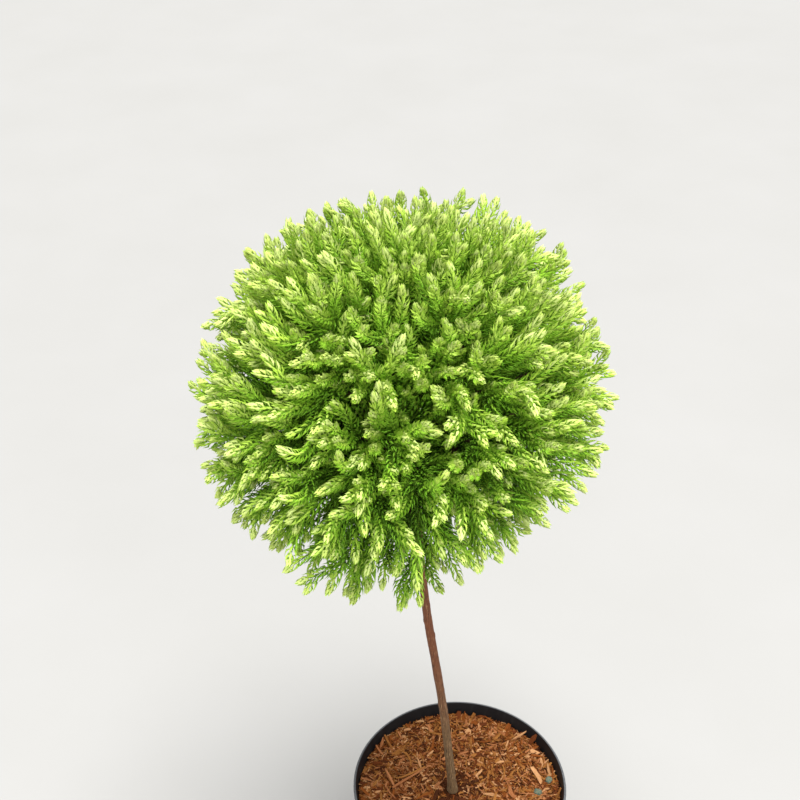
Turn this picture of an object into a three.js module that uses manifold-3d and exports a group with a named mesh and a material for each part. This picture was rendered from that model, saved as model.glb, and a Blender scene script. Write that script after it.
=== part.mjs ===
// A Japanese cedar of a dwarf, globe-headed kind, grafted on a slender clean stem and grown
// in a round black nursery pot filled with compost under chopped bark.
// Millimetres, +Z up. The origin is the centre of the pot's flat underside, +Y points away
// from the viewer, and the stem leans towards -X.

import * as THREE from "three";
import { mergeVertices } from "three/addons/utils/BufferGeometryUtils.js";
import Module from "manifold-3d";

// Pot
const POT_HEIGHT = 210;
const POT_RIM_RADIUS = 140;
const POT_BASE_RADIUS = 109;
const POT_WALL = 2;
const POT_FLOOR = 3;
const POT_FOOT_BEVEL = 3;
const POT_SIDES = 36;
const COLLAR_DEPTH = 30; // the wider band under the rim
const COLLAR_STEP = 1.8;
const BEAD_DEPTH = 4; // the rolled edge of the rim
const BEAD_WIDTH = 1.2;
const DRAIN_HOLES = 6;
const DRAIN_RADIUS = 6;
const DRAIN_SIDES = 10;
const DRAIN_CIRCLE = 88;

// Compost, bark and the two feed tablets that lie in the bark
const BARK_BELOW_RIM = 15; // at the stem
const BARK_FALL = 3; // how far the edge lies below the middle
const BARK_LUMP = 2.2;
const BARK_CIRCLES = 7;
const BARK_CROWDING = 1.35; // above 1 draws the circles towards the stem
const BARK_LEVEL = 14; // radius of the level patch that the stem stands on
const TABLETS = [
  { x: 120, y: 17, turn: 0.5, tilt: 0.2 },
  { x: 104, y: -4, turn: 1.3, tilt: -0.15 },
];
const TABLET_SIZE = { foot: 11, head: 9, height: 8 };
const TABLET_SIDES = 8;
const TABLET_SUNK = 3;

// Stem
const STEM_FOOT_AT = -9; // beside the middle of the pot
const STEM_RADIUS = 5.5;
const STEM_TIP_RADIUS = 4.6;
const FLARE_RADIUS = 7.5;
const FLARE_HEIGHT = 16;
const STEM_SUNK = 12; // length cut off level at the bark
const STEM_KNOTS = 8;
const STEM_WAVER = 3; // how far the stem strays from a straight line
const GRAFT_BELOW_CENTRE = 70;
const GRAFT_SWELL = 2.8;
const GRAFT_HEIGHT = 16;
const HEAD_RADIUS = 12;
const HEAD_HALF_HEIGHT = 30;
const HEAD_TOP_SHARE = 0.6;
const STEM_SIDES = 10;
const STEM_STEPS = 22;

// Crown
const CROWN_CENTRE = new THREE.Vector3(-77, 0, 831);
const CROWN_RADIUS = 219;
const CROWN_RIPPLE = 0.02;
const CORE_SHARE = 0.57; // where the tangle of old twigs ends and the free shoots begin
const CORE_LUMP = 0.05;
const CORE_DETAIL = 3;
const HOLLOW_DETAIL = 1;
const MASS_CLEAR = 1.2; // from a mass to the plane that parts it from the next
const HOLLOW_SHARE = 0.42; // the bare middle, where only boughs run
const BOUGH_SHARE = 0.38;
const BOUGH_RADIUS = 4;
const BOUGH_TIP_RADIUS = 2.6;
const BOUGH_SEAT = 0.72; // how far up or down the head the outer boughs sit, as a share
const BOUGH_STRAIGHT = 0.45; // the straight end, as a share
const BOUGH_SIDES = 6;
const BOUGH_STEPS = 3;
const NEIGHBOUR_ANGLE = 1.3; // limbs closer than this share a plane between their masses
const UNEVEN_PLACES = [ // where the crown is fuller or thinner than a globe
  { way: new THREE.Vector3(0.2, -0.47, -0.86), inner: 9, outer: 17, change: -0.27 }, // by the stem
  { way: new THREE.Vector3(0.62, -0.46, -0.64), inner: 12, outer: 40, change: -0.13 },
  { way: new THREE.Vector3(0.57, 0.48, 0.66), inner: 8, outer: 30, change: 0.045 },
  { way: new THREE.Vector3(-0.94, 0.2, 0.28), inner: 8, outer: 24, change: -0.05 },
];
const RINGS = [
  { name: "top", count: 1, elevation: 90, start: 0 },
  { name: "upper", count: 5, elevation: 46, start: 20 },
  { name: "middle", count: 7, elevation: 2, start: 0 },
  { name: "lower", count: 5, elevation: -44, start: 50 },
];

// Shoots
const SHOOTS = 192;
const SHOOT_ROOT_DEPTH = 14; // how far its root is sunk in the tangle
const SHOOT_ROOT_VOLUME = 60; // the least that its root holds inside the tangle
const SHOOT_FAN = 0.36; // how far the roots draw together towards the bough
const SHOOT_BARE = 24; // length from its root to its first needles
const SHOOT_RADIUS = 4.6;
const SHOOT_TIP_RADIUS = 3.4;
const SHOOT_TIERS = 3;
const SHOOT_SIDES = 3;
const SHOOT_TIP = 25; // the closed brush of young needles at the end
const SHOOT_ARCH = 6;
const NEEDLE_FORWARD = 27;
const NEEDLE_OUT = 17;
const NEEDLE_LAST_SHARE = 0.8; // the size of the last needles against the first
const SHOOT_ROOM = 0.62; // how much of a needle's width is kept inside the mass's space
const TIP_ROOM = 5.4;
const SHOOT_REACH = { least: 0.9, most: 1.04 };
const SHOOT_SCATTER = { turn: 0.3, rise: 0.12 };
const STEM_ROOM = 3; // clear space between the stem and the foliage
const STEM_KEEP_OUT = 17; // degrees round the stem where no shoot grows

const PUSH_ROUNDS = 4;
const GAP = 0.3;
const SEED = 20817;

const TURN = Math.PI * 2;
const UP = new THREE.Vector3(0, 0, 1);
const BARK_TOP = POT_HEIGHT - BARK_BELOW_RIM;
const STEM_FOOT = new THREE.Vector3(STEM_FOOT_AT, 0, BARK_TOP + GAP);

const wasm = await Module();
wasm.setup();

// A seeded stream of numbers from 0 to 1.
function seededStream(seed) {
  let state = seed >>> 0;
  return () => {
    state = (Math.imul(state, 1664525) + 1013904223) >>> 0;
    return state / 4294967296;
  };
}

function mix(a, b, t) {
  return a + (b - a) * t;
}

function smoothStep(low, high, x) {
  return THREE.MathUtils.smoothstep(x, low, high);
}

// A gentle ripple over the crown, from about -1 to 1.
function ripple(d) {
  const wide = Math.sin(3.1 * d.x + 2.2 * d.y + 0.7) * Math.cos(2.7 * d.z - 1.3 * d.x + 0.4);
  const fine = Math.sin(7.3 * d.x - 4.1 * d.z + 1.9) * Math.sin(6.1 * d.y + 3.7 * d.z);
  return 0.6 * wide + 0.4 * fine;
}

// How far the crown reaches from its centre along a direction.
function reach(d) {
  let share = 1 + CROWN_RIPPLE * ripple(d);
  for (const { way, inner, outer, change } of UNEVEN_PLACES)
    share += change * (1 - smoothStep(inner, outer, THREE.MathUtils.radToDeg(d.angleTo(way))));
  return CROWN_RADIUS * share;
}

// How far the tangle of old twigs reaches along a direction. It follows the crown's form by half.
function coreReach(d) {
  const lump = 1 + CORE_LUMP * Math.sin(19 * d.x + 5 * d.z) * Math.sin(17 * d.y - 9 * d.z);
  return 0.5 * (reach(d) + CROWN_RADIUS) * CORE_SHARE * lump;
}

// The height of the bark at a place in the pot.
function barkHeight(x, y) {
  const across = Math.min(Math.hypot(x, y) / POT_RIM_RADIUS, 1);
  const wide = Math.sin(x * 0.071 + 1.1) * Math.cos(y * 0.083 - 0.6);
  const lump = 0.6 * wide + 0.4 * Math.sin((x - y) * 0.13);
  const open = smoothStep(BARK_LEVEL, BARK_LEVEL * 3, Math.hypot(x - STEM_FOOT_AT, y));
  return BARK_TOP - (BARK_FALL * across * across + BARK_LUMP * (1 - lump) * 0.5) * open;
}

function toSolid(geometry) {
  const bare = geometry.clone();
  bare.deleteAttribute("normal");
  bare.deleteAttribute("uv");
  const merged = mergeVertices(bare, 1e-4);
  const vertProperties = merged.attributes.position.array;
  const triVerts = new Uint32Array(merged.index.array);
  return new wasm.Manifold(new wasm.Mesh({ numProp: 3, vertProperties, triVerts }));
}

function toGeometry(solid) {
  const { numProp, vertProperties, triVerts } = solid.getMesh();
  const positions = [];
  for (const v of triVerts) positions.push(...vertProperties.slice(v * numProp, v * numProp + 3));
  const geometry = new THREE.BufferGeometry();
  geometry.setAttribute("position", new THREE.Float32BufferAttribute(positions, 3));
  geometry.computeVertexNormals();
  return geometry;
}

function finish(roughness, color, metalness = 0) {
  return new THREE.MeshStandardMaterial({ color, roughness, metalness, flatShading: true });
}

const MATERIALS = {
  pot: finish(0.45, 0x17181a),
  compost: finish(0.95, 0x9c5a35),
  tablet: finish(0.7, 0x5d8f7d),
  bark: finish(0.85, 0x7a4a30),
  foliage: finish(0.65, 0x7fb02e),
};

function part(name, geometry, material) {
  const mesh = new THREE.Mesh(geometry, material);
  mesh.name = name;
  return mesh;
}

// A solid of revolution about +Z from points given as [radius, height].
function turned(profile, sides) {
  const points = profile.map(([radius, height]) => new THREE.Vector2(radius, height));
  return new THREE.LatheGeometry(points, sides).rotateX(Math.PI / 2);
}

// The level axis that a curve runs along least, from which angles round it are counted.
function steadySide(curve) {
  const run = curve.getPoint(1).sub(curve.getPoint(0));
  return Math.abs(run.x) > Math.abs(run.y) ? new THREE.Vector3(0, 1, 0) : new THREE.Vector3(1, 0, 0);
}

// The point at an angle and a radius round a curve, square to it at the share t of its length.
function roundPoint(curve, t, radius, angle, forward = 0) {
  const tangent = curve.getTangent(t);
  const side = steadySide(curve);
  const across = side.addScaledVector(tangent, -side.dot(tangent)).normalize();
  const over = new THREE.Vector3().crossVectors(tangent, across);
  const point = curve.getPoint(t).addScaledVector(tangent, forward);
  point.addScaledVector(across, radius * Math.cos(angle));
  return point.addScaledVector(over, radius * Math.sin(angle));
}

function fromTriangles(points, triangles) {
  const geometry = new THREE.BufferGeometry();
  geometry.setAttribute("position", new THREE.Float32BufferAttribute(points.flatMap((p) => p.toArray()), 3));
  geometry.setIndex(triangles.flat());
  return geometry;
}

// A closed skin over rings with the same number of points, flat at both ends.
function stackedRings(rings) {
  const sides = rings[0].length;
  const triangles = [];
  for (let k = 0; k < rings.length - 1; k++)
    for (let m = 0; m < sides; m++) {
      const [a, b] = [k * sides + m, k * sides + ((m + 1) % sides)];
      triangles.push([a, b, b + sides], [a, b + sides, a + sides]);
    }
  const last = (rings.length - 1) * sides;
  for (let m = 1; m < sides - 1; m++) triangles.push([0, m + 1, m], [last, last + m, last + m + 1]);
  return fromTriangles(rings.flat(), triangles);
}

// A round limb along a curve. radiusAt takes the share of the way along it.
function limb(curve, radiusAt, sides, steps) {
  const ringAt = (t) =>
    Array.from({ length: sides }, (_, m) => roundPoint(curve, t, radiusAt(t), (TURN * m) / sides));
  return stackedRings(Array.from({ length: steps + 1 }, (_, k) => ringAt(k / steps)));
}

function potInnerRadius(height) {
  const taper = (POT_RIM_RADIUS - BEAD_WIDTH - COLLAR_STEP - POT_BASE_RADIUS) / POT_HEIGHT;
  const collar = height > POT_HEIGHT - COLLAR_DEPTH ? COLLAR_STEP : 0;
  return POT_BASE_RADIUS + taper * height + collar - POT_WALL;
}

function makePot() {
  const collarFoot = POT_HEIGHT - COLLAR_DEPTH;
  const outer = (height) => potInnerRadius(height) + POT_WALL;
  const shell = turned(
    [
      [0, 0],
      [POT_BASE_RADIUS - POT_FOOT_BEVEL, 0],
      [POT_BASE_RADIUS, POT_FOOT_BEVEL],
      [outer(collarFoot), collarFoot],
      [outer(collarFoot) + COLLAR_STEP, collarFoot + COLLAR_STEP],
      [outer(POT_HEIGHT - BEAD_DEPTH), POT_HEIGHT - BEAD_DEPTH],
      [POT_RIM_RADIUS, POT_HEIGHT - BEAD_DEPTH + BEAD_WIDTH],
      [POT_RIM_RADIUS, POT_HEIGHT - BEAD_WIDTH],
      [POT_RIM_RADIUS - BEAD_WIDTH, POT_HEIGHT],
      [potInnerRadius(POT_HEIGHT), POT_HEIGHT],
      [potInnerRadius(collarFoot + COLLAR_STEP), collarFoot + COLLAR_STEP],
      [potInnerRadius(collarFoot), collarFoot],
      [potInnerRadius(POT_FLOOR), POT_FLOOR],
      [0, POT_FLOOR],
    ],
    POT_SIDES,
  );
  let pot = toSolid(shell);
  for (let i = 0; i < DRAIN_HOLES; i++) {
    const drill = new THREE.CylinderGeometry(DRAIN_RADIUS, DRAIN_RADIUS, POT_FLOOR * 4, DRAIN_SIDES);
    drill.rotateX(Math.PI / 2).translate(DRAIN_CIRCLE, 0, 0);
    pot = pot.subtract(toSolid(drill.rotateZ((TURN * (i + 0.5)) / DRAIN_HOLES)));
  }
  return toGeometry(pot);
}

function tabletBlock({ x, y, turn, tilt }, spare) {
  const { foot, head, height } = TABLET_SIZE;
  const [top, bottom] = [head / 2 + spare, foot / 2 + spare];
  const block = new THREE.CylinderGeometry(top, bottom, height + 2 * spare, TABLET_SIDES);
  const middle = barkHeight(x, y) + height / 2 - TABLET_SUNK;
  return block.rotateX(Math.PI / 2).rotateX(tilt).rotateZ(turn).translate(x, y, middle);
}

function levelCircle(radius, height) {
  return Array.from({ length: POT_SIDES }, (_, m) => {
    const angle = (TURN * m) / POT_SIDES;
    return new THREE.Vector3(radius * Math.cos(angle), radius * Math.sin(angle), height);
  });
}

// Circles round the stem's foot across the bark, growing into the pot's own circle at the edge.
function barkSurface(edgeRadius) {
  return Array.from({ length: BARK_CIRCLES }, (_, k) => {
    const share = ((k + 1) / BARK_CIRCLES) ** BARK_CROWDING;
    const circle = levelCircle(edgeRadius * share, 0);
    for (const point of circle) {
      point.x += STEM_FOOT_AT * (1 - share);
      point.z = barkHeight(point.x, point.y);
    }
    return circle;
  });
}

// The pot's filling, with its bark top and a seat cut for each tablet.
function makeCompost() {
  const collarFoot = POT_HEIGHT - COLLAR_DEPTH;
  const edgeRadius = potInnerRadius(BARK_TOP - BARK_FALL - BARK_LUMP) - 2 * GAP;
  const rings = [
    levelCircle(potInnerRadius(POT_FLOOR) - 2 * GAP, POT_FLOOR + GAP),
    levelCircle(potInnerRadius(collarFoot) - 2 * GAP, collarFoot),
    ...barkSurface(edgeRadius).reverse(),
  ];
  let compost = toSolid(stackedRings(rings));
  for (const tablet of TABLETS) compost = compost.subtract(toSolid(tabletBlock(tablet, GAP)));
  return toGeometry(compost);
}

// The stem's middle line, from just under the bark to the top of its head inside the crown.
function stemCurve() {
  const head = CROWN_CENTRE.clone().addScaledVector(UP, HEAD_HALF_HEIGHT);
  const lean = CROWN_CENTRE.clone().sub(STEM_FOOT).normalize();
  const points = [STEM_FOOT.clone().addScaledVector(lean, -STEM_SUNK)];
  for (let i = 0; i <= STEM_KNOTS; i++) {
    const t = i / STEM_KNOTS;
    const point = STEM_FOOT.clone().lerp(CROWN_CENTRE, t);
    point.x += STEM_WAVER * Math.sin(Math.PI * t) * Math.sin(7.5 * t + 0.4);
    point.y += STEM_WAVER * Math.sin(Math.PI * t) * Math.sin(5.5 * t + 2.1);
    points.push(point);
  }
  points.push(head);
  return new THREE.CatmullRomCurve3(points, false, "centripetal");
}

const STEM = stemCurve();

function stemRadius(point, spare) {
  const height = Math.max(point.z - STEM_FOOT.z, 0);
  const fromCentre = point.z - CROWN_CENTRE.z;
  const plain = mix(STEM_RADIUS, STEM_TIP_RADIUS, height / (CROWN_CENTRE.z - STEM_FOOT.z));
  const flare = (FLARE_RADIUS - STEM_RADIUS) * Math.exp(-((height / FLARE_HEIGHT) ** 1.5));
  const graft = GRAFT_SWELL * Math.exp(-(((fromCentre + GRAFT_BELOW_CENTRE) / GRAFT_HEIGHT) ** 2));
  const headGrowth = smoothStep(-1.7 * HEAD_HALF_HEIGHT, -0.6 * HEAD_HALF_HEIGHT, fromCentre);
  const head = (HEAD_RADIUS - STEM_TIP_RADIUS) * headGrowth;
  const shoulder = mix(1, HEAD_TOP_SHARE, smoothStep(0.5 * HEAD_HALF_HEIGHT, HEAD_HALF_HEIGHT, fromCentre));
  return (plain + flare + graft + head) * shoulder + spare;
}

// The stem, grown on all sides by a spare width where room is cut for it.
function stemSolid(spare) {
  const radiusAt = (t) => stemRadius(STEM.getPoint(t), spare);
  return toSolid(limb(STEM, radiusAt, STEM_SIDES, STEM_STEPS)).trimByPlane([0, 0, 1], STEM_FOOT.z);
}

// The crown's limbs, one direction for each bough and the mass of foliage at its end.
function crownLimbs() {
  const limbs = [];
  for (const ring of RINGS)
    for (let i = 0; i < ring.count; i++) {
      const turn = THREE.MathUtils.degToRad(ring.start + (360 * i) / ring.count);
      const rise = THREE.MathUtils.degToRad(ring.elevation);
      const direction = new THREE.Vector3(
        Math.cos(rise) * Math.cos(turn),
        Math.cos(rise) * Math.sin(turn),
        Math.sin(rise),
      );
      const label = ring.count > 1 ? `${ring.name}_${i + 1}` : ring.name;
      limbs.push({ label, direction });
    }
  return limbs;
}

const LIMBS = crownLimbs();

// A bough rises from the stem's head and bends to run straight out where its mass begins.
function boughCurve({ direction }) {
  const seat = CROWN_CENTRE.clone().addScaledVector(UP, direction.z * HEAD_HALF_HEIGHT * BOUGH_SEAT);
  const end = CROWN_CENTRE.clone().addScaledVector(direction, BOUGH_SHARE * CROWN_RADIUS);
  const knee = end.clone().addScaledVector(direction, -seat.distanceTo(end) * BOUGH_STRAIGHT);
  return new THREE.QuadraticBezierCurve3(seat, knee, end);
}

function makeBough(branch, clearStem) {
  const taper = (t) => mix(BOUGH_RADIUS, BOUGH_TIP_RADIUS, t);
  const bough = toSolid(limb(boughCurve(branch), taper, BOUGH_SIDES, BOUGH_STEPS));
  return toGeometry(bough.subtract(clearStem));
}

// The planes that part one mass's space from its neighbours', each through the crown's centre.
function spaceOf(branch) {
  const isNear = (other) => other.direction.angleTo(branch.direction) < NEIGHBOUR_ANGLE;
  const neighbours = LIMBS.filter((other) => other !== branch && isNear(other));
  return neighbours.map((other) => branch.direction.clone().sub(other.direction).normalize());
}

function depthInside(point, planes) {
  const from = point.clone().sub(CROWN_CENTRE);
  return Math.min(...planes.map((plane) => plane.dot(from)));
}

// Moves a point in from the planes until it lies this deep in the space.
function pushInside(point, planes, depth) {
  const moved = point.clone();
  for (let round = 0; round < PUSH_ROUNDS; round++)
    for (const plane of planes) {
      const short = depth - plane.dot(moved.clone().sub(CROWN_CENTRE));
      if (short > 0) moved.addScaledVector(plane, short);
    }
  return moved;
}

// Shoot tips spread evenly over the crown, each with the mass that it belongs to.
function shootTips() {
  const random = seededStream(SEED);
  const golden = Math.PI * (3 - Math.sqrt(5));
  const stemWay = STEM_FOOT.clone().sub(CROWN_CENTRE).normalize();
  const tips = [];
  for (let i = 0; i < SHOOTS; i++) {
    const z = 1 - (2 * (i + 0.5)) / SHOOTS;
    const turn = golden * i + SHOOT_SCATTER.turn * (random() - 0.5);
    const flat = Math.sqrt(1 - z * z);
    const rise = z + SHOOT_SCATTER.rise * (random() - 0.5);
    const way = new THREE.Vector3(flat * Math.cos(turn), flat * Math.sin(turn), rise).normalize();
    const far = reach(way) * mix(SHOOT_REACH.least, SHOOT_REACH.most, random());
    const twist = TURN * random();
    if (THREE.MathUtils.radToDeg(way.angleTo(stemWay)) < STEM_KEEP_OUT) continue;
    tips.push({ way, far, twist, owner: nearestLimb(way) });
  }
  return tips;
}

function nearestLimb(way) {
  const closer = (best, next) => (next.direction.dot(way) > best.direction.dot(way) ? next : best);
  return LIMBS.reduce(closer);
}

// A shoot's middle line: rooted in the tangle towards its bough, arched, and out to its tip.
function shootCurve({ way, far, owner }, planes) {
  const lean = way.clone().lerp(owner.direction, SHOOT_FAN).normalize();
  const room = NEEDLE_OUT * SHOOT_ROOM + GAP;
  const rootAt = coreReach(lean) - SHOOT_ROOT_DEPTH;
  const root = pushInside(CROWN_CENTRE.clone().addScaledVector(lean, rootAt), planes, room);
  const end = pushInside(CROWN_CENTRE.clone().addScaledVector(way, far), planes, TIP_ROOM);
  const knee = root.clone().lerp(end, 0.5).addScaledVector(UP, SHOOT_ARCH);
  return new THREE.QuadraticBezierCurve3(root, pushInside(knee, planes, room), end);
}

// One shoot: a three-sided twig that is bare where it leaves the tangle, then rises from each
// side to a needle, tier by tier, and ends in a closed tip. A needle that would leave the mass's
// space is skipped.
function shootSolid(curve, twist, planes) {
  const length = curve.getLength();
  const closedAt = 1 - SHOOT_TIP / length;
  const stations = [0];
  for (let k = 0; k <= SHOOT_TIERS; k++)
    stations.push(mix(SHOOT_BARE / length, closedAt, k / SHOOT_TIERS));
  const points = stations.flatMap((t) =>
    Array.from({ length: SHOOT_SIDES }, (_, m) =>
      roundPoint(curve, t, mix(SHOOT_RADIUS, SHOOT_TIP_RADIUS, t), twist + (TURN * m) / SHOOT_SIDES),
    ),
  );
  const triangles = [[0, 2, 1]];
  for (let k = 0; k <= SHOOT_TIERS; k++) {
    const size = mix(1, NEEDLE_LAST_SHARE, stations[k]);
    for (let m = 0; m < SHOOT_SIDES; m++) {
      const [a, b] = [k * SHOOT_SIDES + m, k * SHOOT_SIDES + ((m + 1) % SHOOT_SIDES)];
      const [c, d] = [b + SHOOT_SIDES, a + SHOOT_SIDES];
      const angle = twist + (TURN * (m + 0.5)) / SHOOT_SIDES;
      const needle = roundPoint(curve, stations[k], NEEDLE_OUT * size, angle, NEEDLE_FORWARD * size);
      if (k === 0 || depthInside(needle, planes) < GAP) {
        triangles.push([a, b, c], [a, c, d]);
        continue;
      }
      const n = points.push(needle) - 1;
      triangles.push([a, b, n], [b, c, n], [c, d, n], [d, a, n]);
    }
  }
  const last = (SHOOT_TIERS + 1) * SHOOT_SIDES;
  const tip = points.push(curve.getPoint(1)) - 1;
  for (let m = 0; m < SHOOT_SIDES; m++) triangles.push([last + m, last + ((m + 1) % SHOOT_SIDES), tip]);
  return toSolid(fromTriangles(points, triangles));
}

// The tangle of old twigs inside the crown: a lumpy ball with a bare middle.
function tangle() {
  const skin = new THREE.IcosahedronGeometry(1, CORE_DETAIL);
  const at = skin.attributes.position;
  for (let i = 0; i < at.count; i++) {
    const way = new THREE.Vector3().fromBufferAttribute(at, i).normalize();
    const place = CROWN_CENTRE.clone().addScaledVector(way, coreReach(way));
    at.setXYZ(i, place.x, place.y, place.z);
  }
  const middle = new THREE.IcosahedronGeometry(HOLLOW_SHARE * CROWN_RADIUS, HOLLOW_DETAIL);
  middle.translate(...CROWN_CENTRE.toArray());
  return toSolid(skin).subtract(toSolid(middle));
}

// The largest body of a solid, without the scraps that a cut has left.
function largestBody(solid) {
  const bodies = solid.decompose();
  return bodies.reduce((best, next) => (next.volume() > best.volume() ? next : best));
}

// One mass of foliage: its stem, its share of the tangle and the shoots that stand out of it.
function makeMass(branch, tips, wholeTangle, roomyStem) {
  const planes = spaceOf(branch);
  let core = wholeTangle.subtract(roomyStem);
  for (const plane of planes)
    core = core.trimByPlane(plane.toArray(), plane.dot(CROWN_CENTRE) + MASS_CLEAR);
  core = largestBody(core);
  const along = (distance) => CROWN_CENTRE.clone().addScaledVector(branch.direction, distance);
  const midCore = 0.5 * (HOLLOW_SHARE + CORE_SHARE) * CROWN_RADIUS;
  const line = new THREE.LineCurve3(along(BOUGH_SHARE * CROWN_RADIUS + GAP), along(midCore));
  let mass = core.add(toSolid(limb(line, () => BOUGH_TIP_RADIUS, BOUGH_SIDES, 1)));
  for (const tip of tips.filter(({ owner }) => owner === branch)) {
    const shoot = shootSolid(shootCurve(tip, planes), tip.twist, planes);
    const touchesStem = shoot.intersect(roomyStem).volume() > 0;
    const rooted = shoot.intersect(core).volume() > SHOOT_ROOT_VOLUME;
    if (rooted && !touchesStem) mass = mass.add(shoot);
  }
  return toGeometry(largestBody(mass));
}

const cedar = new THREE.Group();
cedar.add(part("pot", makePot(), MATERIALS.pot));
cedar.add(part("compost", makeCompost(), MATERIALS.compost));
TABLETS.forEach((tablet, i) =>
  cedar.add(part(`feed_tablet_${i + 1}`, tabletBlock(tablet, 0), MATERIALS.tablet)),
);
cedar.add(part("stem", toGeometry(stemSolid(0)), MATERIALS.bark));

const clearStem = stemSolid(GAP);
const roomyStem = stemSolid(STEM_ROOM);
const crown = new THREE.Group();
const tips = shootTips();
const wholeTangle = tangle();
for (const branch of LIMBS) {
  crown.add(part(`bough_${branch.label}`, makeBough(branch, clearStem), MATERIALS.bark));
  const mass = makeMass(branch, tips, wholeTangle, roomyStem);
  crown.add(part(`foliage_${branch.label}`, mass, MATERIALS.foliage));
}
cedar.add(crown);

export default cedar;
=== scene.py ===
"""The looks of a globe-headed Japanese cedar standard in its nursery pot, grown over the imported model."""

import logging
import math
from dataclasses import dataclass
from enum import Enum
from typing import NamedTuple

import bmesh
import bpy
import numpy as np
from bmesh.types import BMEdge, BMesh
from bpy.types import ID, Material, Node, NodeSocket, Object
from mathutils import Matrix, Vector, noise


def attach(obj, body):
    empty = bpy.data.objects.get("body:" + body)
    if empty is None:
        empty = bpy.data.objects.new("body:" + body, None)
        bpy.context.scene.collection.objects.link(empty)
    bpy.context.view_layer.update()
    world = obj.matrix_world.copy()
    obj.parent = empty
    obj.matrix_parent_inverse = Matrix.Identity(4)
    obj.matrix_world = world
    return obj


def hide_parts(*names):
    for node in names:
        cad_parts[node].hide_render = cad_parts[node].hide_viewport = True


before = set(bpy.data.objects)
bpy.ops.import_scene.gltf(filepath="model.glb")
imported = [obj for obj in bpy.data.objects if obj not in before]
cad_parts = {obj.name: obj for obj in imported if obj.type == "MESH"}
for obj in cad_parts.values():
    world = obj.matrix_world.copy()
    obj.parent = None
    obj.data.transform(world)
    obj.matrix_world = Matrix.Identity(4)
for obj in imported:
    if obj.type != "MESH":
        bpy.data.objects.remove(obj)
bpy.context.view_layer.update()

log = logging.getLogger("cedar")

MM = 0.001
SEED = 20817
GOLDEN_TURN = math.pi * (3 - math.sqrt(5))
UP = np.array([0.0, 0.0, 1.0])
BODY = "root"

# Corners within this many millimetres of each other count as level, or as one.
SAME = 0.01

Colour = tuple[float, float, float, float]
Triple = tuple[float, float, float]
Pair = tuple[float, float]
Shape = tuple[np.ndarray, np.ndarray]
Number = float | np.ndarray


def paint(*levels: int) -> Colour:
    """Turns a colour as seen on a screen, 0 to 255, into the linear colour that a shader takes."""
    shares = (level / 255 for level in levels)
    return (*(s / 12.92 if s <= 0.04045 else ((s + 0.055) / 1.055) ** 2.4 for s in shares), 1.0)


def smooth_step(low: float, high: float, x: Number) -> Number:
    """Rises softly from 0 at low to 1 at high."""
    share = np.clip((np.asarray(x, float) - low) / (high - low), 0, 1)
    return share * share * (3 - 2 * share)


def mix(a: Number, b: Number, t: Number) -> Number:
    """The value a share t of the way from a to b."""
    return a + (b - a) * t


def spoke_at(across: np.ndarray, over: np.ndarray, angle: Number) -> np.ndarray:
    """The direction at an angle that turns from across to over."""
    return across * np.cos(angle) + over * np.sin(angle)


def unit(rows: np.ndarray) -> np.ndarray:
    """The same directions at length one."""
    rows = np.asarray(rows, float)
    return rows / np.maximum(np.linalg.norm(rows, axis=-1, keepdims=True), 1e-12)


class SeededStream:
    """The source's own stream of numbers from 0 to 1."""

    def __init__(self, seed: int) -> None:
        """Starts the stream."""
        self.state = seed & 0xFFFFFFFF

    def next(self) -> float:
        """The next number."""
        self.state = (self.state * 1664525 + 1013904223) & 0xFFFFFFFF
        return self.state / 4294967296


class Value:
    """A socket that gives a number, worked with as Python numbers are."""

    def __init__(self, recipe: "Recipe", socket: NodeSocket) -> None:
        """Wraps one output socket of a recipe's tree."""
        self.recipe = recipe
        self.socket = socket

    def _maths(self, operation: str, *operands: "Value | float") -> "Value":
        """The result of one Math node."""
        node = self.recipe.node("ShaderNodeMath", dict(enumerate(operands)), operation=operation)
        return Value(self.recipe, node.outputs[0])

    def __add__(self, other: "Value | float") -> "Value":
        """Sum."""
        return self._maths("ADD", self, other)

    __radd__ = __add__

    def __mul__(self, other: "Value | float") -> "Value":
        """Product."""
        return self._maths("MULTIPLY", self, other)

    def __pow__(self, other: "Value | float") -> "Value":
        """Power."""
        return self._maths("POWER", self, other)

    def step(self, low: float, high: float) -> "Value":
        """Rises softly from 0 at low to 1 at high.

        Args:
            low: Where the rise begins.
            high: Where it ends. Below low, the value falls instead.

        Returns:
            The share from 0 to 1.
        """
        ends = (low, high, 0.0, 1.0) if low < high else (high, low, 1.0, 0.0)
        sockets = {"Value": self, **dict(zip(("From Min", "From Max", "To Min", "To Max"), ends))}
        node = self.recipe.node("ShaderNodeMapRange", sockets, interpolation_type="SMOOTHSTEP")
        return Value(self.recipe, node.outputs["Result"])


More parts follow.
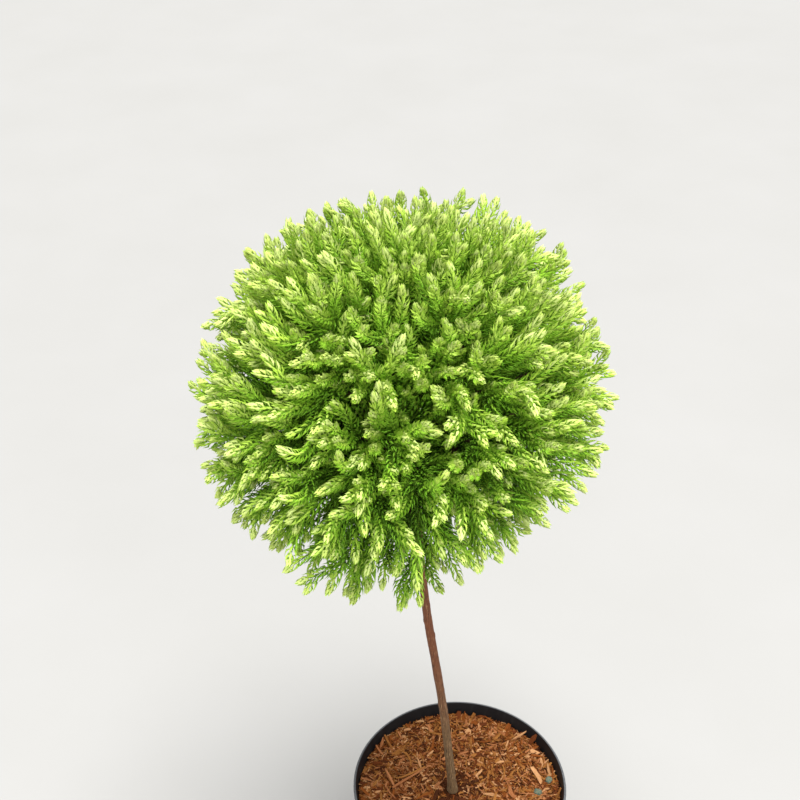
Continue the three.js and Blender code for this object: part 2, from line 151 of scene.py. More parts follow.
class Recipe:
    """A material and the node tree that it is mixed from."""

    def __init__(self, name: str, roughness: float, specular: float) -> None:
        """Starts a material with its constant gloss.

        Args:
            name: Its name.
            roughness: How rough it is, where nothing else is said.
            specular: How strongly it shines.
        """
        self.material = bpy.data.materials.new(name)
        self.material.use_nodes = True
        self.tree = self.material.node_tree
        self.shader = self.tree.nodes["Principled BSDF"]
        self.shader.inputs["Roughness"].default_value = roughness
        self.shader.inputs["Specular IOR Level"].default_value = specular

    def node(self, kind: str, sockets: dict | None = None, **settings: object) -> Node:
        """Adds a node to the tree.

        Args:
            kind: The node's type.
            sockets: Numbers, colours or links, by the socket's name or place.
            settings: What is set on the node itself, before its sockets.

        Returns:
            The node.
        """
        node = self.tree.nodes.new(kind)
        for name, setting in settings.items():
            setattr(node, name, setting)
        for name, given in (sockets or {}).items():
            self.feed(node.inputs[name], given)
        return node

    def feed(self, socket: NodeSocket, given: object) -> None:
        """Links or sets one input.

        Args:
            socket: The input.
            given: A Value, an output socket, a number, a vector or a colour.
        """
        source = given.socket if isinstance(given, Value) else given
        if isinstance(source, NodeSocket):
            self.tree.links.new(source, socket)
        else:
            socket.default_value = source

    def place(self, stretch: Triple = (1, 1, 1), source: str = "Object") -> NodeSocket:
        """Where a point lies on the piece: in metres, or on its own map if the source is "UV"."""
        where = self.node("ShaderNodeTexCoord").outputs[source]
        return self.node("ShaderNodeMapping", {"Vector": where, "Scale": stretch}).outputs["Vector"]

    def grain(self, vector: NodeSocket, scale: float, detail: float = 3, roughness: float = 0.55) -> Value:
        """Noise from 0 to 1, by its lumps to a unit and the number and strength of its finer layers."""
        sockets = {"Vector": vector, "Scale": scale, "Detail": detail, "Roughness": roughness}
        return Value(self, self.node("ShaderNodeTexNoise", sockets).outputs["Fac"])

    def axis(self, vector: NodeSocket, name: str) -> Value:
        """One axis of a vector."""
        return Value(self, self.node("ShaderNodeSeparateXYZ", {"Vector": vector}).outputs[name])

    def blend(self, factor: "Value | float", a: object, b: object) -> NodeSocket:
        """Mixes two colours, by the share of the second."""
        return self.node("ShaderNodeMix", {0: factor, 6: a, 7: b}, data_type="RGBA").outputs[2]

    def colour(self, given: object) -> None:
        """Sets the base colour."""
        self.feed(self.shader.inputs["Base Color"], given)

    def gloss(self, given: Value) -> None:
        """Lets the roughness vary."""
        self.feed(self.shader.inputs["Roughness"], given)

    def relief(self, height: Value, depth: float) -> None:
        """Raises the surface by a height from 0 to 1, where 1 stands for a depth in metres."""
        bump = self.node("ShaderNodeBump", {"Height": height, "Distance": depth, "Strength": 1.0})
        self.feed(self.shader.inputs["Normal"], bump.outputs["Normal"])


@dataclass(frozen=True)
class PotPlastic:
    """Black moulded plastic with dust, splashed soil at the foot, faint scuffs and a painted highlight along
    the rim.
    """

    black: Colour = paint(9, 10, 12)
    dust: Colour = paint(66, 62, 56)
    # Painted highlight: the pale grey of the thin line of light along the top of the rim's bead.
    rim_highlight: Colour = paint(82, 84, 86)
    rim_height: Pair = (0.2082, 0.2090)
    rim_line: Pair = (0.1370, 0.1376)

    def make(self) -> Material:
        """Mixes the material.

        Returns:
            The material.
        """
        recipe = Recipe("pot_plastic", 0.46, 0.32)
        here = recipe.place()
        height = recipe.axis(here, "Z")
        across = (recipe.axis(here, "X") ** 2 + recipe.axis(here, "Y") ** 2) ** 0.5
        cloud = recipe.grain(here, 22, 4)
        speck = recipe.grain(here, 420, 3, 0.7)
        streak = recipe.grain(recipe.place((1, 1, 0.12)), 150, 3, 0.6)
        foot = height.step(0.07, 0.0) * cloud.step(0.42, 0.62) * speck.step(0.42, 0.6)
        film = streak.step(0.5, 0.75) * 0.07 + cloud.step(0.5, 0.8) * 0.05
        dusted = recipe.blend(foot * 0.75 + film, self.black, self.dust)
        # A painted highlight, not wear: line and worn mark a thin pale line of light along the top of the
        # rim's bead, broken by specks.
        line = height.step(*self.rim_height) * across.step(*self.rim_line)
        worn = line * (0.6 + speck.step(0.4, 0.62) * 0.4)
        recipe.colour(recipe.blend(worn * 0.9, dusted, self.rim_highlight))
        recipe.gloss(0.36 + cloud * 0.14 + foot * 0.35 + streak.step(0.5, 0.75) * 0.1)
        recipe.relief(speck * 0.5 + streak * 0.3, 0.00022)
        return recipe.material


@dataclass(frozen=True)
class ChipWood:
    """Shredded bark and wood in one tone, with its grain along each chip."""

    name: str
    light: Colour
    dark: Colour

    def make(self) -> Material:
        """Mixes the material.

        Returns:
            The material.
        """
        recipe = Recipe(self.name, 0.85, 0.1)
        along = recipe.place((0.12, 1.6, 1), "UV")
        fibre = recipe.grain(along, 1.0, 4, 0.65)
        each = recipe.grain(recipe.place((0.013, 0.013, 1), "UV"), 1.0, 0)
        tone = fibre.step(0.3, 0.68) * 0.62 + each.step(0.3, 0.7) * 0.38
        recipe.colour(recipe.blend(tone, self.dark, self.light))
        recipe.gloss(0.72 + fibre * 0.22)
        recipe.relief(fibre, 0.0006)
        return recipe.material


@dataclass(frozen=True)
class DampCompost:
    """Dark crumbly compost and fine bark dust between the chips."""

    crumb: Colour = paint(57, 27, 8)
    fleck: Colour = paint(100, 54, 22)

    def make(self) -> Material:
        """Mixes the material.

        Returns:
            The material.
        """
        recipe = Recipe("damp_compost", 0.9, 0.1)
        here = recipe.place()
        crumb = recipe.grain(here, 380, 5, 0.7)
        fleck = recipe.grain(recipe.place((1, 0.35, 1)), 620, 3, 0.6)
        recipe.colour(recipe.blend(fleck.step(0.5, 0.66) * 0.8, self.crumb, self.fleck))
        recipe.gloss(0.8 + crumb * 0.15)
        recipe.relief(crumb * 0.7 + fleck * 0.3, 0.0025)
        return recipe.material


@dataclass(frozen=True)
class PressedFeed:
    """Grey-green pressed grains of plant feed, paler where they are dry."""

    damp: Colour = paint(46, 58, 46)
    dry: Colour = paint(86, 102, 87)
    dust: Colour = paint(124, 98, 68)

    def make(self) -> Material:
        """Mixes the material.

        Returns:
            The material.
        """
        recipe = Recipe("pressed_feed", 0.8, 0.3)
        here = recipe.place()
        grains = recipe.grain(here, 900, 3, 0.7)
        dryness = recipe.grain(here, 160, 2)
        pressed = recipe.blend(grains.step(0.35, 0.7) * 0.6 + dryness * 0.4, self.damp, self.dry)
        dusty = recipe.grain(here, 420, 4, 0.65).step(0.48, 0.62)
        recipe.colour(recipe.blend(dusty * 0.6, pressed, self.dust))
        recipe.gloss(0.7 + grains * 0.2)
        recipe.relief(grains, 0.0007)
        return recipe.material


@dataclass(frozen=True)
class CedarBark:
    """Thin fibrous bark: grey-olive and weathered near the foot, red-brown above."""

    name: str = "cedar_bark"
    weathered: Colour = paint(96, 74, 48)
    fresh: Colour = paint(104, 60, 37)
    crack: Colour = paint(42, 28, 19)
    flake: Colour = paint(150, 121, 88)
    turns_red: Pair = (0.30, 0.52)

    def make(self) -> Material:
        """Mixes the material.

        Returns:
            The material.
        """
        recipe = Recipe(self.name, 0.8, 0.3)
        here = recipe.place()
        fibre = recipe.grain(recipe.place((1, 1, 0.09)), 900, 5, 0.65)
        patch = recipe.grain(recipe.place((1, 1, 0.4)), 130, 4, 0.6)
        redness = (recipe.axis(here, "Z") + patch * 0.08).step(*self.turns_red)
        skin = recipe.blend(redness, self.weathered, self.fresh)
        flaked = recipe.blend(fibre.step(0.52, 0.66) * patch.step(0.4, 0.58) * 0.85, skin, self.flake)
        recipe.colour(recipe.blend(fibre.step(0.47, 0.34), flaked, self.crack))
        recipe.gloss(0.68 + fibre * 0.25)
        recipe.relief(fibre * 0.7 + patch * 0.3, 0.0011)
        return recipe.material


@dataclass(frozen=True)
class NeedleSkin:
    """The waxy skin of needles of one age."""

    name: str
    body: Colour
    bloom: Colour
    roughness: float = 0.5

    def make(self) -> Material:
        """Mixes the material.

        Returns:
            The material.
        """
        recipe = Recipe(self.name, self.roughness, 0.12)
        bloom = recipe.grain(recipe.place(), 70, 2)
        recipe.colour(recipe.blend(bloom.step(0.38, 0.66), self.body, self.bloom))
        return recipe.material


@dataclass(frozen=True)
class PaperFloor:
    """A pale seamless sheet."""

    pale: Colour = paint(137, 136, 133)
    paler: Colour = paint(142, 141, 139)

    def make(self) -> Material:
        """Mixes the material.

        Returns:
            The material.
        """
        recipe = Recipe("paper_floor", 0.9, 0.2)
        recipe.colour(recipe.blend(recipe.grain(recipe.place(), 3, 3), self.pale, self.paler))
        return recipe.material


class Age(Enum):
    """The ages of the needles, from the newest to the oldest. Their tints are also dealt as painted shade:
    older, darker ones to needles that face down or grow low on the crown.
    """

    PALE = NeedleSkin("needle_pale", paint(177, 195, 98), paint(189, 205, 122), 0.5)
    LIME = NeedleSkin("needle_lime", paint(156, 188, 64), paint(170, 199, 84), 0.5)
    LEAF = NeedleSkin("needle_leaf", paint(129, 173, 45), paint(142, 185, 57), 0.52)
    DEEP = NeedleSkin("needle_deep", paint(101, 150, 33), paint(115, 162, 43), 0.54)
    OLD = NeedleSkin("needle_old", paint(74, 113, 22), paint(86, 125, 29), 0.58)


class MeshArrays:
    """Many small closed shapes gathered as arrays, to be joined in one mesh."""

    def __init__(self) -> None:
        """Starts empty."""
        self.points: list[np.ndarray] = []
        self.faces: list[np.ndarray] = []
        self.maps: list[np.ndarray] = []
        self.count = 0

    def add(self, points: np.ndarray, faces: np.ndarray, mapped: np.ndarray | None = None) -> None:
        """Adds shapes.

        Args:
            points: Their vertices in millimetres.
            faces: Their triangles.
            mapped: A place on the piece's own map for each vertex.
        """
        self.points.append(points)
        self.faces.append(faces + self.count)
        self.count += len(points)
        if mapped is not None:
            self.maps.append(mapped)

    def join(self, name: str, crease: float = 0) -> Object:
        """Makes one object of all that was added.

        Args:
            name: The object's name.
            crease: The angle between two faces from which their edge stays sharp. At 0, all are flat.

        Returns:
            The object.
        """
        points = np.concatenate(self.points) * MM
        faces = np.concatenate(self.faces)
        mesh = bpy.data.meshes.new(name)
        mesh.vertices.add(len(points))
        mesh.vertices.foreach_set("co", points.ravel())
        mesh.loops.add(faces.size)
        mesh.loops.foreach_set("vertex_index", faces.ravel().astype(np.int32))
        mesh.polygons.add(len(faces))
        mesh.polygons.foreach_set("loop_start", np.arange(0, faces.size, 3, dtype=np.int32))
        if self.maps:
            layer = mesh.uv_layers.new(name="along")
            layer.data.foreach_set("uv", np.concatenate(self.maps)[faces.ravel()].ravel())
        mesh.update(calc_edges=True)
        if crease:
            mesh.shade_smooth()
            mesh.set_sharp_from_angle(angle=crease)
        else:
            mesh.shade_flat()
        return add_object(name, mesh)


def add_object(name: str, data: ID) -> Object:
    """Puts a mesh, a lamp or a camera in the scene.

    Args:
        name: Its name there.
        data: What it is.

    Returns:
        Its object, at the origin.
    """
    added = bpy.data.objects.new(name, data)
    bpy.context.scene.collection.objects.link(added)
    return added


def close_up(name: str, shape: BMesh, smooth: bool = True) -> Object:
    """Turns a bmesh in millimetres into an object.

    Args:
        name: The piece's name.
        shape: The bmesh, freed here.
        smooth: Whether its faces are shaded smooth.

    Returns:
        The piece.
    """
    bmesh.ops.remove_doubles(shape, verts=shape.verts, dist=0.001)
    bmesh.ops.recalc_face_normals(shape, faces=shape.faces)
    bmesh.ops.scale(shape, vec=Vector((MM, MM, MM)), verts=shape.verts)
    mesh = bpy.data.meshes.new(name)
    shape.to_mesh(mesh)
    shape.free()
    if smooth:
        mesh.shade_smooth()
    return add_object(name, mesh)


def settle(piece: Object, material: Material, slot: str, *nodes: str) -> None:
    """Dresses a piece, hangs it on the body and hides the nodes that it stands for.

    Args:
        piece: The piece.
        material: Its material.
        slot: Not used.
        nodes: The nodes that it stands for.
    """
    piece.data.materials.append(material)
    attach(piece, BODY)
    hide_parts(*nodes)
    triangles = sum(len(face.vertices) - 2 for face in piece.data.polygons)
    log.info("%s: %d triangles", piece.name, triangles)


def turned(outline: list[Pair], steps: int) -> BMesh:
    """Turns an outline round the Z axis.

    Args:
        outline: Its corners, as radius and height.
        steps: How many sides the body has.

    Returns:
        The body.
    """
    shape = bmesh.new()
    corners = [shape.verts.new((radius, 0, height)) for radius, height in outline]
    edges = [shape.edges.new(pair) for pair in zip(corners, corners[1:])]
    turn = {"cent": (0, 0, 0), "axis": (0, 0, 1), "angle": 2 * math.pi, "use_merge": True}
    bmesh.ops.spin(shape, geom=corners + edges, steps=steps, **turn)
    bmesh.ops.remove_doubles(shape, verts=shape.verts, dist=SAME)
    return shape


def add_cone(shape: BMesh, sides: int, radii: Pair, depth: float, place: Matrix) -> None:
    """Adds a closed cone or cylinder, about a place and along its Z."""
    size = {"radius1": radii[0], "radius2": radii[1], "depth": depth}
    bmesh.ops.create_cone(shape, cap_ends=True, segments=sides, matrix=place, **size)


def round_off(shape: BMesh, edges: list[BMEdge], width: float, segments: int) -> None:
    """Rounds edges by a width."""
    kind = {"profile": 0.5, "affect": "EDGES", "material": -1}
    bmesh.ops.bevel(shape, geom=edges, offset=width, segments=segments, **kind)


def ridges(place: Vector, layers: int) -> float:
    """The ridged noise of bark."""
    return noise.ridged_multi_fractal(place, 0.8, 2.2, layers, 1.0, 2.0)


@dataclass
class Arc:
    """A middle line with one bend, by its three control points."""

    start: np.ndarray
    knee: np.ndarray
    end: np.ndarray

    @property
    def length(self) -> float:
        """About how long it is."""
        return float(np.linalg.norm(np.diff(self.at(np.linspace(0, 1, 9)), axis=0), axis=1).sum())

    def at(self, shares: np.ndarray) -> np.ndarray:
        """Points at shares of the way along."""
        t = np.asarray(shares, float)[:, None]
        return (1 - t) ** 2 * self.start + 2 * t * (1 - t) * self.knee + t**2 * self.end

    def heading(self, shares: np.ndarray) -> np.ndarray:
        """Directions at shares of the way along."""
        t = np.asarray(shares, float)[:, None]
        return unit((1 - t) * (self.knee - self.start) + t * (self.end - self.knee))


def round_frame(tangents: np.ndarray, run: np.ndarray) -> Shape:
    """Two directions square to a curve, which angles round it are counted from.

    Args:
        tangents: The curve's directions.
        run: The way from its start to its end.

    Returns:
        The direction at angle zero and the one a quarter turn on, for each tangent.
    """
    side = np.array([0.0, 1.0, 0.0]) if abs(run[0]) > abs(run[1]) else np.array([1.0, 0.0, 0.0])
    across = unit(side - tangents * (tangents @ side)[:, None])
    return across, np.cross(tangents, across)


def tube_arrays(path: np.ndarray, radii: np.ndarray, sides: int) -> Shape:
    """A closed round limb along a path.

    Args:
        path: Points along its middle.
        radii: Its radius at each.
        sides: How many sides it has.

    Returns:
        Its vertices and triangles.
    """
    tangents = unit(np.gradient(path, axis=0))
    across, over = round_frame(tangents, path[-1] - path[0])
    angles = np.arange(sides)[None, :, None] * (2 * math.pi / sides)
    rings = path[:, None] + radii[:, None, None] * spoke_at(across[:, None], over[:, None], angles)
    ends = np.stack([path[0], path[-1] + tangents[-1] * radii[-1]])
    first = np.arange(sides)
    following = (first + 1) % sides
    starts = np.arange(len(path) - 1)[:, None] * sides
    here, beside = (starts + first).ravel(), (starts + following).ravel()
    last = (len(path) - 1) * sides
    foot = np.full(sides, last + sides)
    corners = [
        (here, beside, beside + sides),
        (here, beside + sides, here + sides),
        (following, first, foot),
        (last + first, last + following, foot + 1),
    ]
    points = np.concatenate([rings.reshape(-1, 3), ends])
    return points, np.concatenate([np.stack(triangles, 1) for triangles in corners])


class UnevenPlace(NamedTuple):
    """A part of the crown that is fuller or thinner than a globe."""

    way: Triple
    inner: float
    outer: float
    change: float


class Ring(NamedTuple):
    """One ring of limbs round the crown."""

    name: str
    count: int
    elevation: float
    start: float


class Limb(NamedTuple):
    """One bough and the mass at its end."""

    label: str
    ring: str
    direction: np.ndarray


class Tip(NamedTuple):
    """Where a shoot ends, seen from the crown's centre."""

    way: np.ndarray
    far: float
    twist: float
    owner: int


@dataclass
class CrownRule:
    """The rule that the crown grows by, the same as the solids'. Lengths are in millimetres."""

    centre: Triple = (-77, 0, 831)
    stem_foot: Triple = (-9, 0, 195.3)
    radius: float = 219
    ripple_share: float = 0.02
    core_share: float = 0.57
    core_lump: float = 0.05
    bough_share: float = 0.38
    shoots: int = 192
    root_depth: float = 14
    fan: float = 0.36
    arch: float = 6
    room: float = 17 * 0.62 + 0.3
    tip_room: float = 5.4
    least_reach: float = 0.9
    most_reach: float = 1.04
    scatter_turn: float = 0.3
    scatter_rise: float = 0.12
    stem_keep_out: float = 17
    neighbour_angle: float = 1.3
    push_rounds: int = 4
    uneven_places: tuple[UnevenPlace, ...] = (
        UnevenPlace((0.2, -0.47, -0.86), 9, 17, -0.27),
        UnevenPlace((0.62, -0.46, -0.64), 12, 40, -0.13),
        UnevenPlace((0.57, 0.48, 0.66), 8, 30, 0.045),
        UnevenPlace((-0.94, 0.2, 0.28), 8, 24, -0.05),
    )
    rings: tuple[Ring, ...] = (
        Ring("top", 1, 90, 0),
        Ring("upper", 5, 46, 20),
        Ring("middle", 7, 2, 0),
        Ring("lower", 5, -44, 50),
    )

    def __post_init__(self) -> None:
        """Works out the limbs and the planes between their masses."""
        self.middle = np.array(self.centre, float)
        self.foot = np.array(self.stem_foot, float)
        self.stem_way = unit(self.foot - self.middle)
        self.limbs = self._limbs()
        self.directions = np.array([limb.direction for limb in self.limbs])
        self.planes = [self._planes(i) for i in range(len(self.limbs))]

    def _limbs(self) -> list[Limb]:
        """Lays out the limbs.

        Returns:
            The limbs, ring by ring.
        """
        limbs = []
        for ring in self.rings:
            rise = math.radians(ring.elevation)
            level = math.cos(rise)
            for i in range(ring.count):
                turn = math.radians(ring.start + 360 * i / ring.count)
                direction = np.array([level * math.cos(turn), level * math.sin(turn), math.sin(rise)])
                label = f"{ring.name}_{i + 1}" if ring.count > 1 else ring.name
                limbs.append(Limb(label, ring.name, direction))
        return limbs

    def _planes(self, place: int) -> np.ndarray:
        """The planes that part one mass's space from its neighbours'.

        Args:
            place: The mass's place among the limbs.

        Returns:
            Each plane's direction, towards the mass.
        """
        mine = self.directions[place]
        angles = np.arccos(np.clip(self.directions @ mine, -1, 1))
        near = (angles < self.neighbour_angle) & (np.arange(len(angles)) != place)
        return unit(mine - self.directions[near])

    def reach(self, ways: np.ndarray) -> np.ndarray:
        """How far the crown reaches from its centre, with a gentle ripple and its uneven places.

        Args:
            ways: Directions from the centre.

        Returns:
            The distance in each.
        """
        x, y, z = ways.T
        wide = np.sin(3.1 * x + 2.2 * y + 0.7) * np.cos(2.7 * z - 1.3 * x + 0.4)
        fine = np.sin(7.3 * x - 4.1 * z + 1.9) * np.sin(6.1 * y + 3.7 * z)
        share = 1 + self.ripple_share * (0.6 * wide + 0.4 * fine)
        for way, inner, outer, change in self.uneven_places:
            angle = np.degrees(np.arccos(np.clip(ways @ unit(np.array(way)), -1, 1)))
            share += change * (1 - smooth_step(inner, outer, angle))
        return self.radius * share

    def core_reach(self, ways: np.ndarray) -> np.ndarray:
        """How far the tangle of old twigs reaches from the crown's centre along directions."""
        lump = 1 + self.core_lump * np.sin(ways @ (19, 0, 5)) * np.sin(ways @ (0, 17, -9))
        return 0.5 * (self.reach(ways) + self.radius) * self.core_share * lump

    def push_inside(self, point: np.ndarray, owner: int, depth: float) -> np.ndarray:
        """Moves a point in from a mass's planes.

        Args:
            point: The point.
            owner: The mass's place among the limbs.
            depth: How deep in its space the point has to lie.

        Returns:
            The point, moved.
        """
        moved = point - self.middle
        for _ in range(self.push_rounds):
            for plane in self.planes[owner]:
                short = depth - plane @ moved
                if short > 0:
                    moved = moved + plane * short
        return moved + self.middle

    def tips(self, count: int, seed: int, least: float, most: float) -> list[Tip]:
        """Shoot tips spread evenly over the crown.

        Args:
            count: How many places are tried.
            seed: The stream's seed.
            least: The least share of the reach.
            most: The most.

        Returns:
            The tips, without those too near the stem.
        """
        stream = SeededStream(seed)
        crowding = math.sqrt(self.shoots / count)
        found = []
        for i in range(count):
            z = 1 - 2 * (i + 0.5) / count
            turn = GOLDEN_TURN * i + self.scatter_turn * crowding * (stream.next() - 0.5)
            flat = math.sqrt(1 - z * z)
            rise = z + self.scatter_rise * crowding * (stream.next() - 0.5)
            way = unit(np.array([flat * math.cos(turn), flat * math.sin(turn), rise]))
            far = float(self.reach(way[None])[0]) * mix(least, most, stream.next())
            twist = 2 * math.pi * stream.next()
            if math.degrees(math.acos(min(way @ self.stem_way, 1))) >= self.stem_keep_out:
                found.append(Tip(way, far, twist, int(np.argmax(self.directions @ way))))
        return found

    def leader(self, owner: int, share: float) -> np.ndarray:
        """A point on the line that a bough follows, at a share of the crown's radius."""
        return self.middle + self.directions[owner] * (share * self.radius)

    def shoot(self, tip: Tip) -> Arc:
        """A main shoot's middle line: rooted in the tangle, arched, and out to its tip.

        Args:
            tip: The shoot's tip.

        Returns:
            The line.
        """
        lean = unit(tip.way + (self.directions[tip.owner] - tip.way) * self.fan)
        root_at = float(self.core_reach(lean[None])[0]) - self.root_depth
        root = self.push_inside(self.middle + lean * root_at, tip.owner, self.room)
        end = self.push_inside(self.middle + tip.way * tip.far, tip.owner, self.tip_room)
        knee = root + (end - root) * 0.5 + UP * self.arch
        return Arc(root, self.push_inside(knee, tip.owner, self.room), end)


@dataclass
class NurseryPot:
    """A round black pot with a rolled rim, a wider band under it and drain holes."""

    height: float = 210
    rim_radius: float = 140
    base_radius: float = 109
    wall: float = 2
    floor: float = 3
    foot_bevel: float = 3
    collar_depth: float = 30
    collar_step: float = 1.8
    bead_depth: float = 4
    bead_width: float = 1.2
    drain_holes: int = 6
    drain_radius: float = 6
    drain_circle: float = 88
    drain_sides: int = 32
    sides: int = 144
    edge_round: float = 0.45
    crease: float = math.radians(38)

    def __post_init__(self) -> None:
        """Works out where the band begins and how fast the wall widens."""
        self.collar_foot = self.height - self.collar_depth
        self.taper = (self.rim_radius - self.bead_width - self.collar_step - self.base_radius) / self.height

    def inner_radius(self, height: float) -> float:
        """The radius of the pot's inside at a height."""
        collar = self.collar_step if height > self.collar_foot else 0
        return self.base_radius + self.taper * height + collar - self.wall

    def _profile(self) -> list[Pair]:
        """Draws the wall's outline.

        Returns:
            Its radii and heights, from the middle of the foot round to the middle of the floor.
        """
        bead_foot = self.height - self.bead_depth
        step_top = self.collar_foot + self.collar_step
        return [
            (0, 0),
            (self.base_radius - self.foot_bevel, 0),
            (self.base_radius, self.foot_bevel),
            (self.inner_radius(self.collar_foot) + self.wall, self.collar_foot),
            (self.inner_radius(self.collar_foot) + self.wall + self.collar_step, step_top),
            (self.inner_radius(bead_foot) + self.wall, bead_foot),
            (self.rim_radius, bead_foot + self.bead_width),
            (self.rim_radius, self.height - self.bead_width),
            (self.rim_radius - self.bead_width, self.height),
            (self.inner_radius(self.height), self.height),
            (self.inner_radius(step_top), step_top),
            (self.inner_radius(self.collar_foot), self.collar_foot),
            (self.inner_radius(self.floor), self.floor),
            (0, self.floor),
        ]

    def _shell(self) -> BMesh:
        """The pot's wall and floor, turned from its outline.

        Returns:
            The shell, with the edges of its rim, band and foot rounded.
        """
        shape = turned(self._profile(), self.sides)
        bmesh.ops.recalc_face_normals(shape, faces=shape.faces)
        foot, band = self.foot_bevel + 1, self.collar_foot - 1
        outer = []
        for edge in shape.edges:
            a, b = (corner.co for corner in edge.verts)
            along_ring = abs(a.z - b.z) < SAME and abs(a.xy.length - b.xy.length) < SAME
            if along_ring and a.xy.length > self.base_radius - 1 and not foot <= a.z <= band:
                outer.append(edge)
        round_off(shape, outer, self.edge_round, 2)
        return shape

    def _drill(self) -> Object:
        """Makes the cutter for the drain holes.

        Returns:
            The cutter.
        """
        cutter = bmesh.new()
        for i in range(self.drain_holes):
            turn = Matrix.Rotation(2 * math.pi * (i + 0.5) / self.drain_holes, 4, "Z")
            place = turn @ Matrix.Translation((self.drain_circle, 0, 0))
            add_cone(cutter, self.drain_sides, (self.drain_radius,) * 2, self.floor * 4, place)
        return close_up("drill", cutter, smooth=False)

    def build(self) -> None:
        """Makes the pot and dresses it."""
        pot = close_up("pot_shell", self._shell())
        drill = self._drill()
        cut = pot.modifiers.new("drain", "BOOLEAN")
        cut.operation = "DIFFERENCE"
        cut.object = drill
        graph = bpy.context.evaluated_depsgraph_get()
        drilled = bpy.data.meshes.new_from_object(pot.evaluated_get(graph))
        pot.modifiers.clear()
        pot.data = drilled
        bpy.data.objects.remove(drill)
        pot.data.materials.clear()
        pot.data.set_sharp_from_angle(angle=self.crease)
        settle(pot, PotPlastic().make(), "pot", "pot")


class ChipTone(Enum):
    """The tones of the bark chips."""

    CREAM = ChipWood("chip_cream", paint(176, 132, 90), paint(130, 87, 52))
    SALMON = ChipWood("chip_salmon", paint(150, 98, 60), paint(106, 60, 30))
    TAN = ChipWood("chip_tan", paint(138, 91, 43), paint(98, 56, 20))
    ORANGE = ChipWood("chip_orange", paint(118, 64, 21), paint(78, 37, 9))
    RUST = ChipWood("chip_rust", paint(91, 44, 13), paint(55, 24, 6))
    DARK = ChipWood("chip_dark", paint(70, 33, 8), paint(40, 18, 4))


class NotedChip(NamedTuple):
    """A chip that shows singly: its middle, size, turn, tilt and tone."""

    x: float
    y: float
    above: float
    length: float
    width: float
    turn: float
    tilt: float
    tone: ChipTone


class ChipKind(NamedTuple):
    """One kind of chip: how many, how big, how it is cut and how level it lies."""

    count: int
    length: float
    width: float
    thickness: float
    cuts: int
    curve: float
    tilt: float


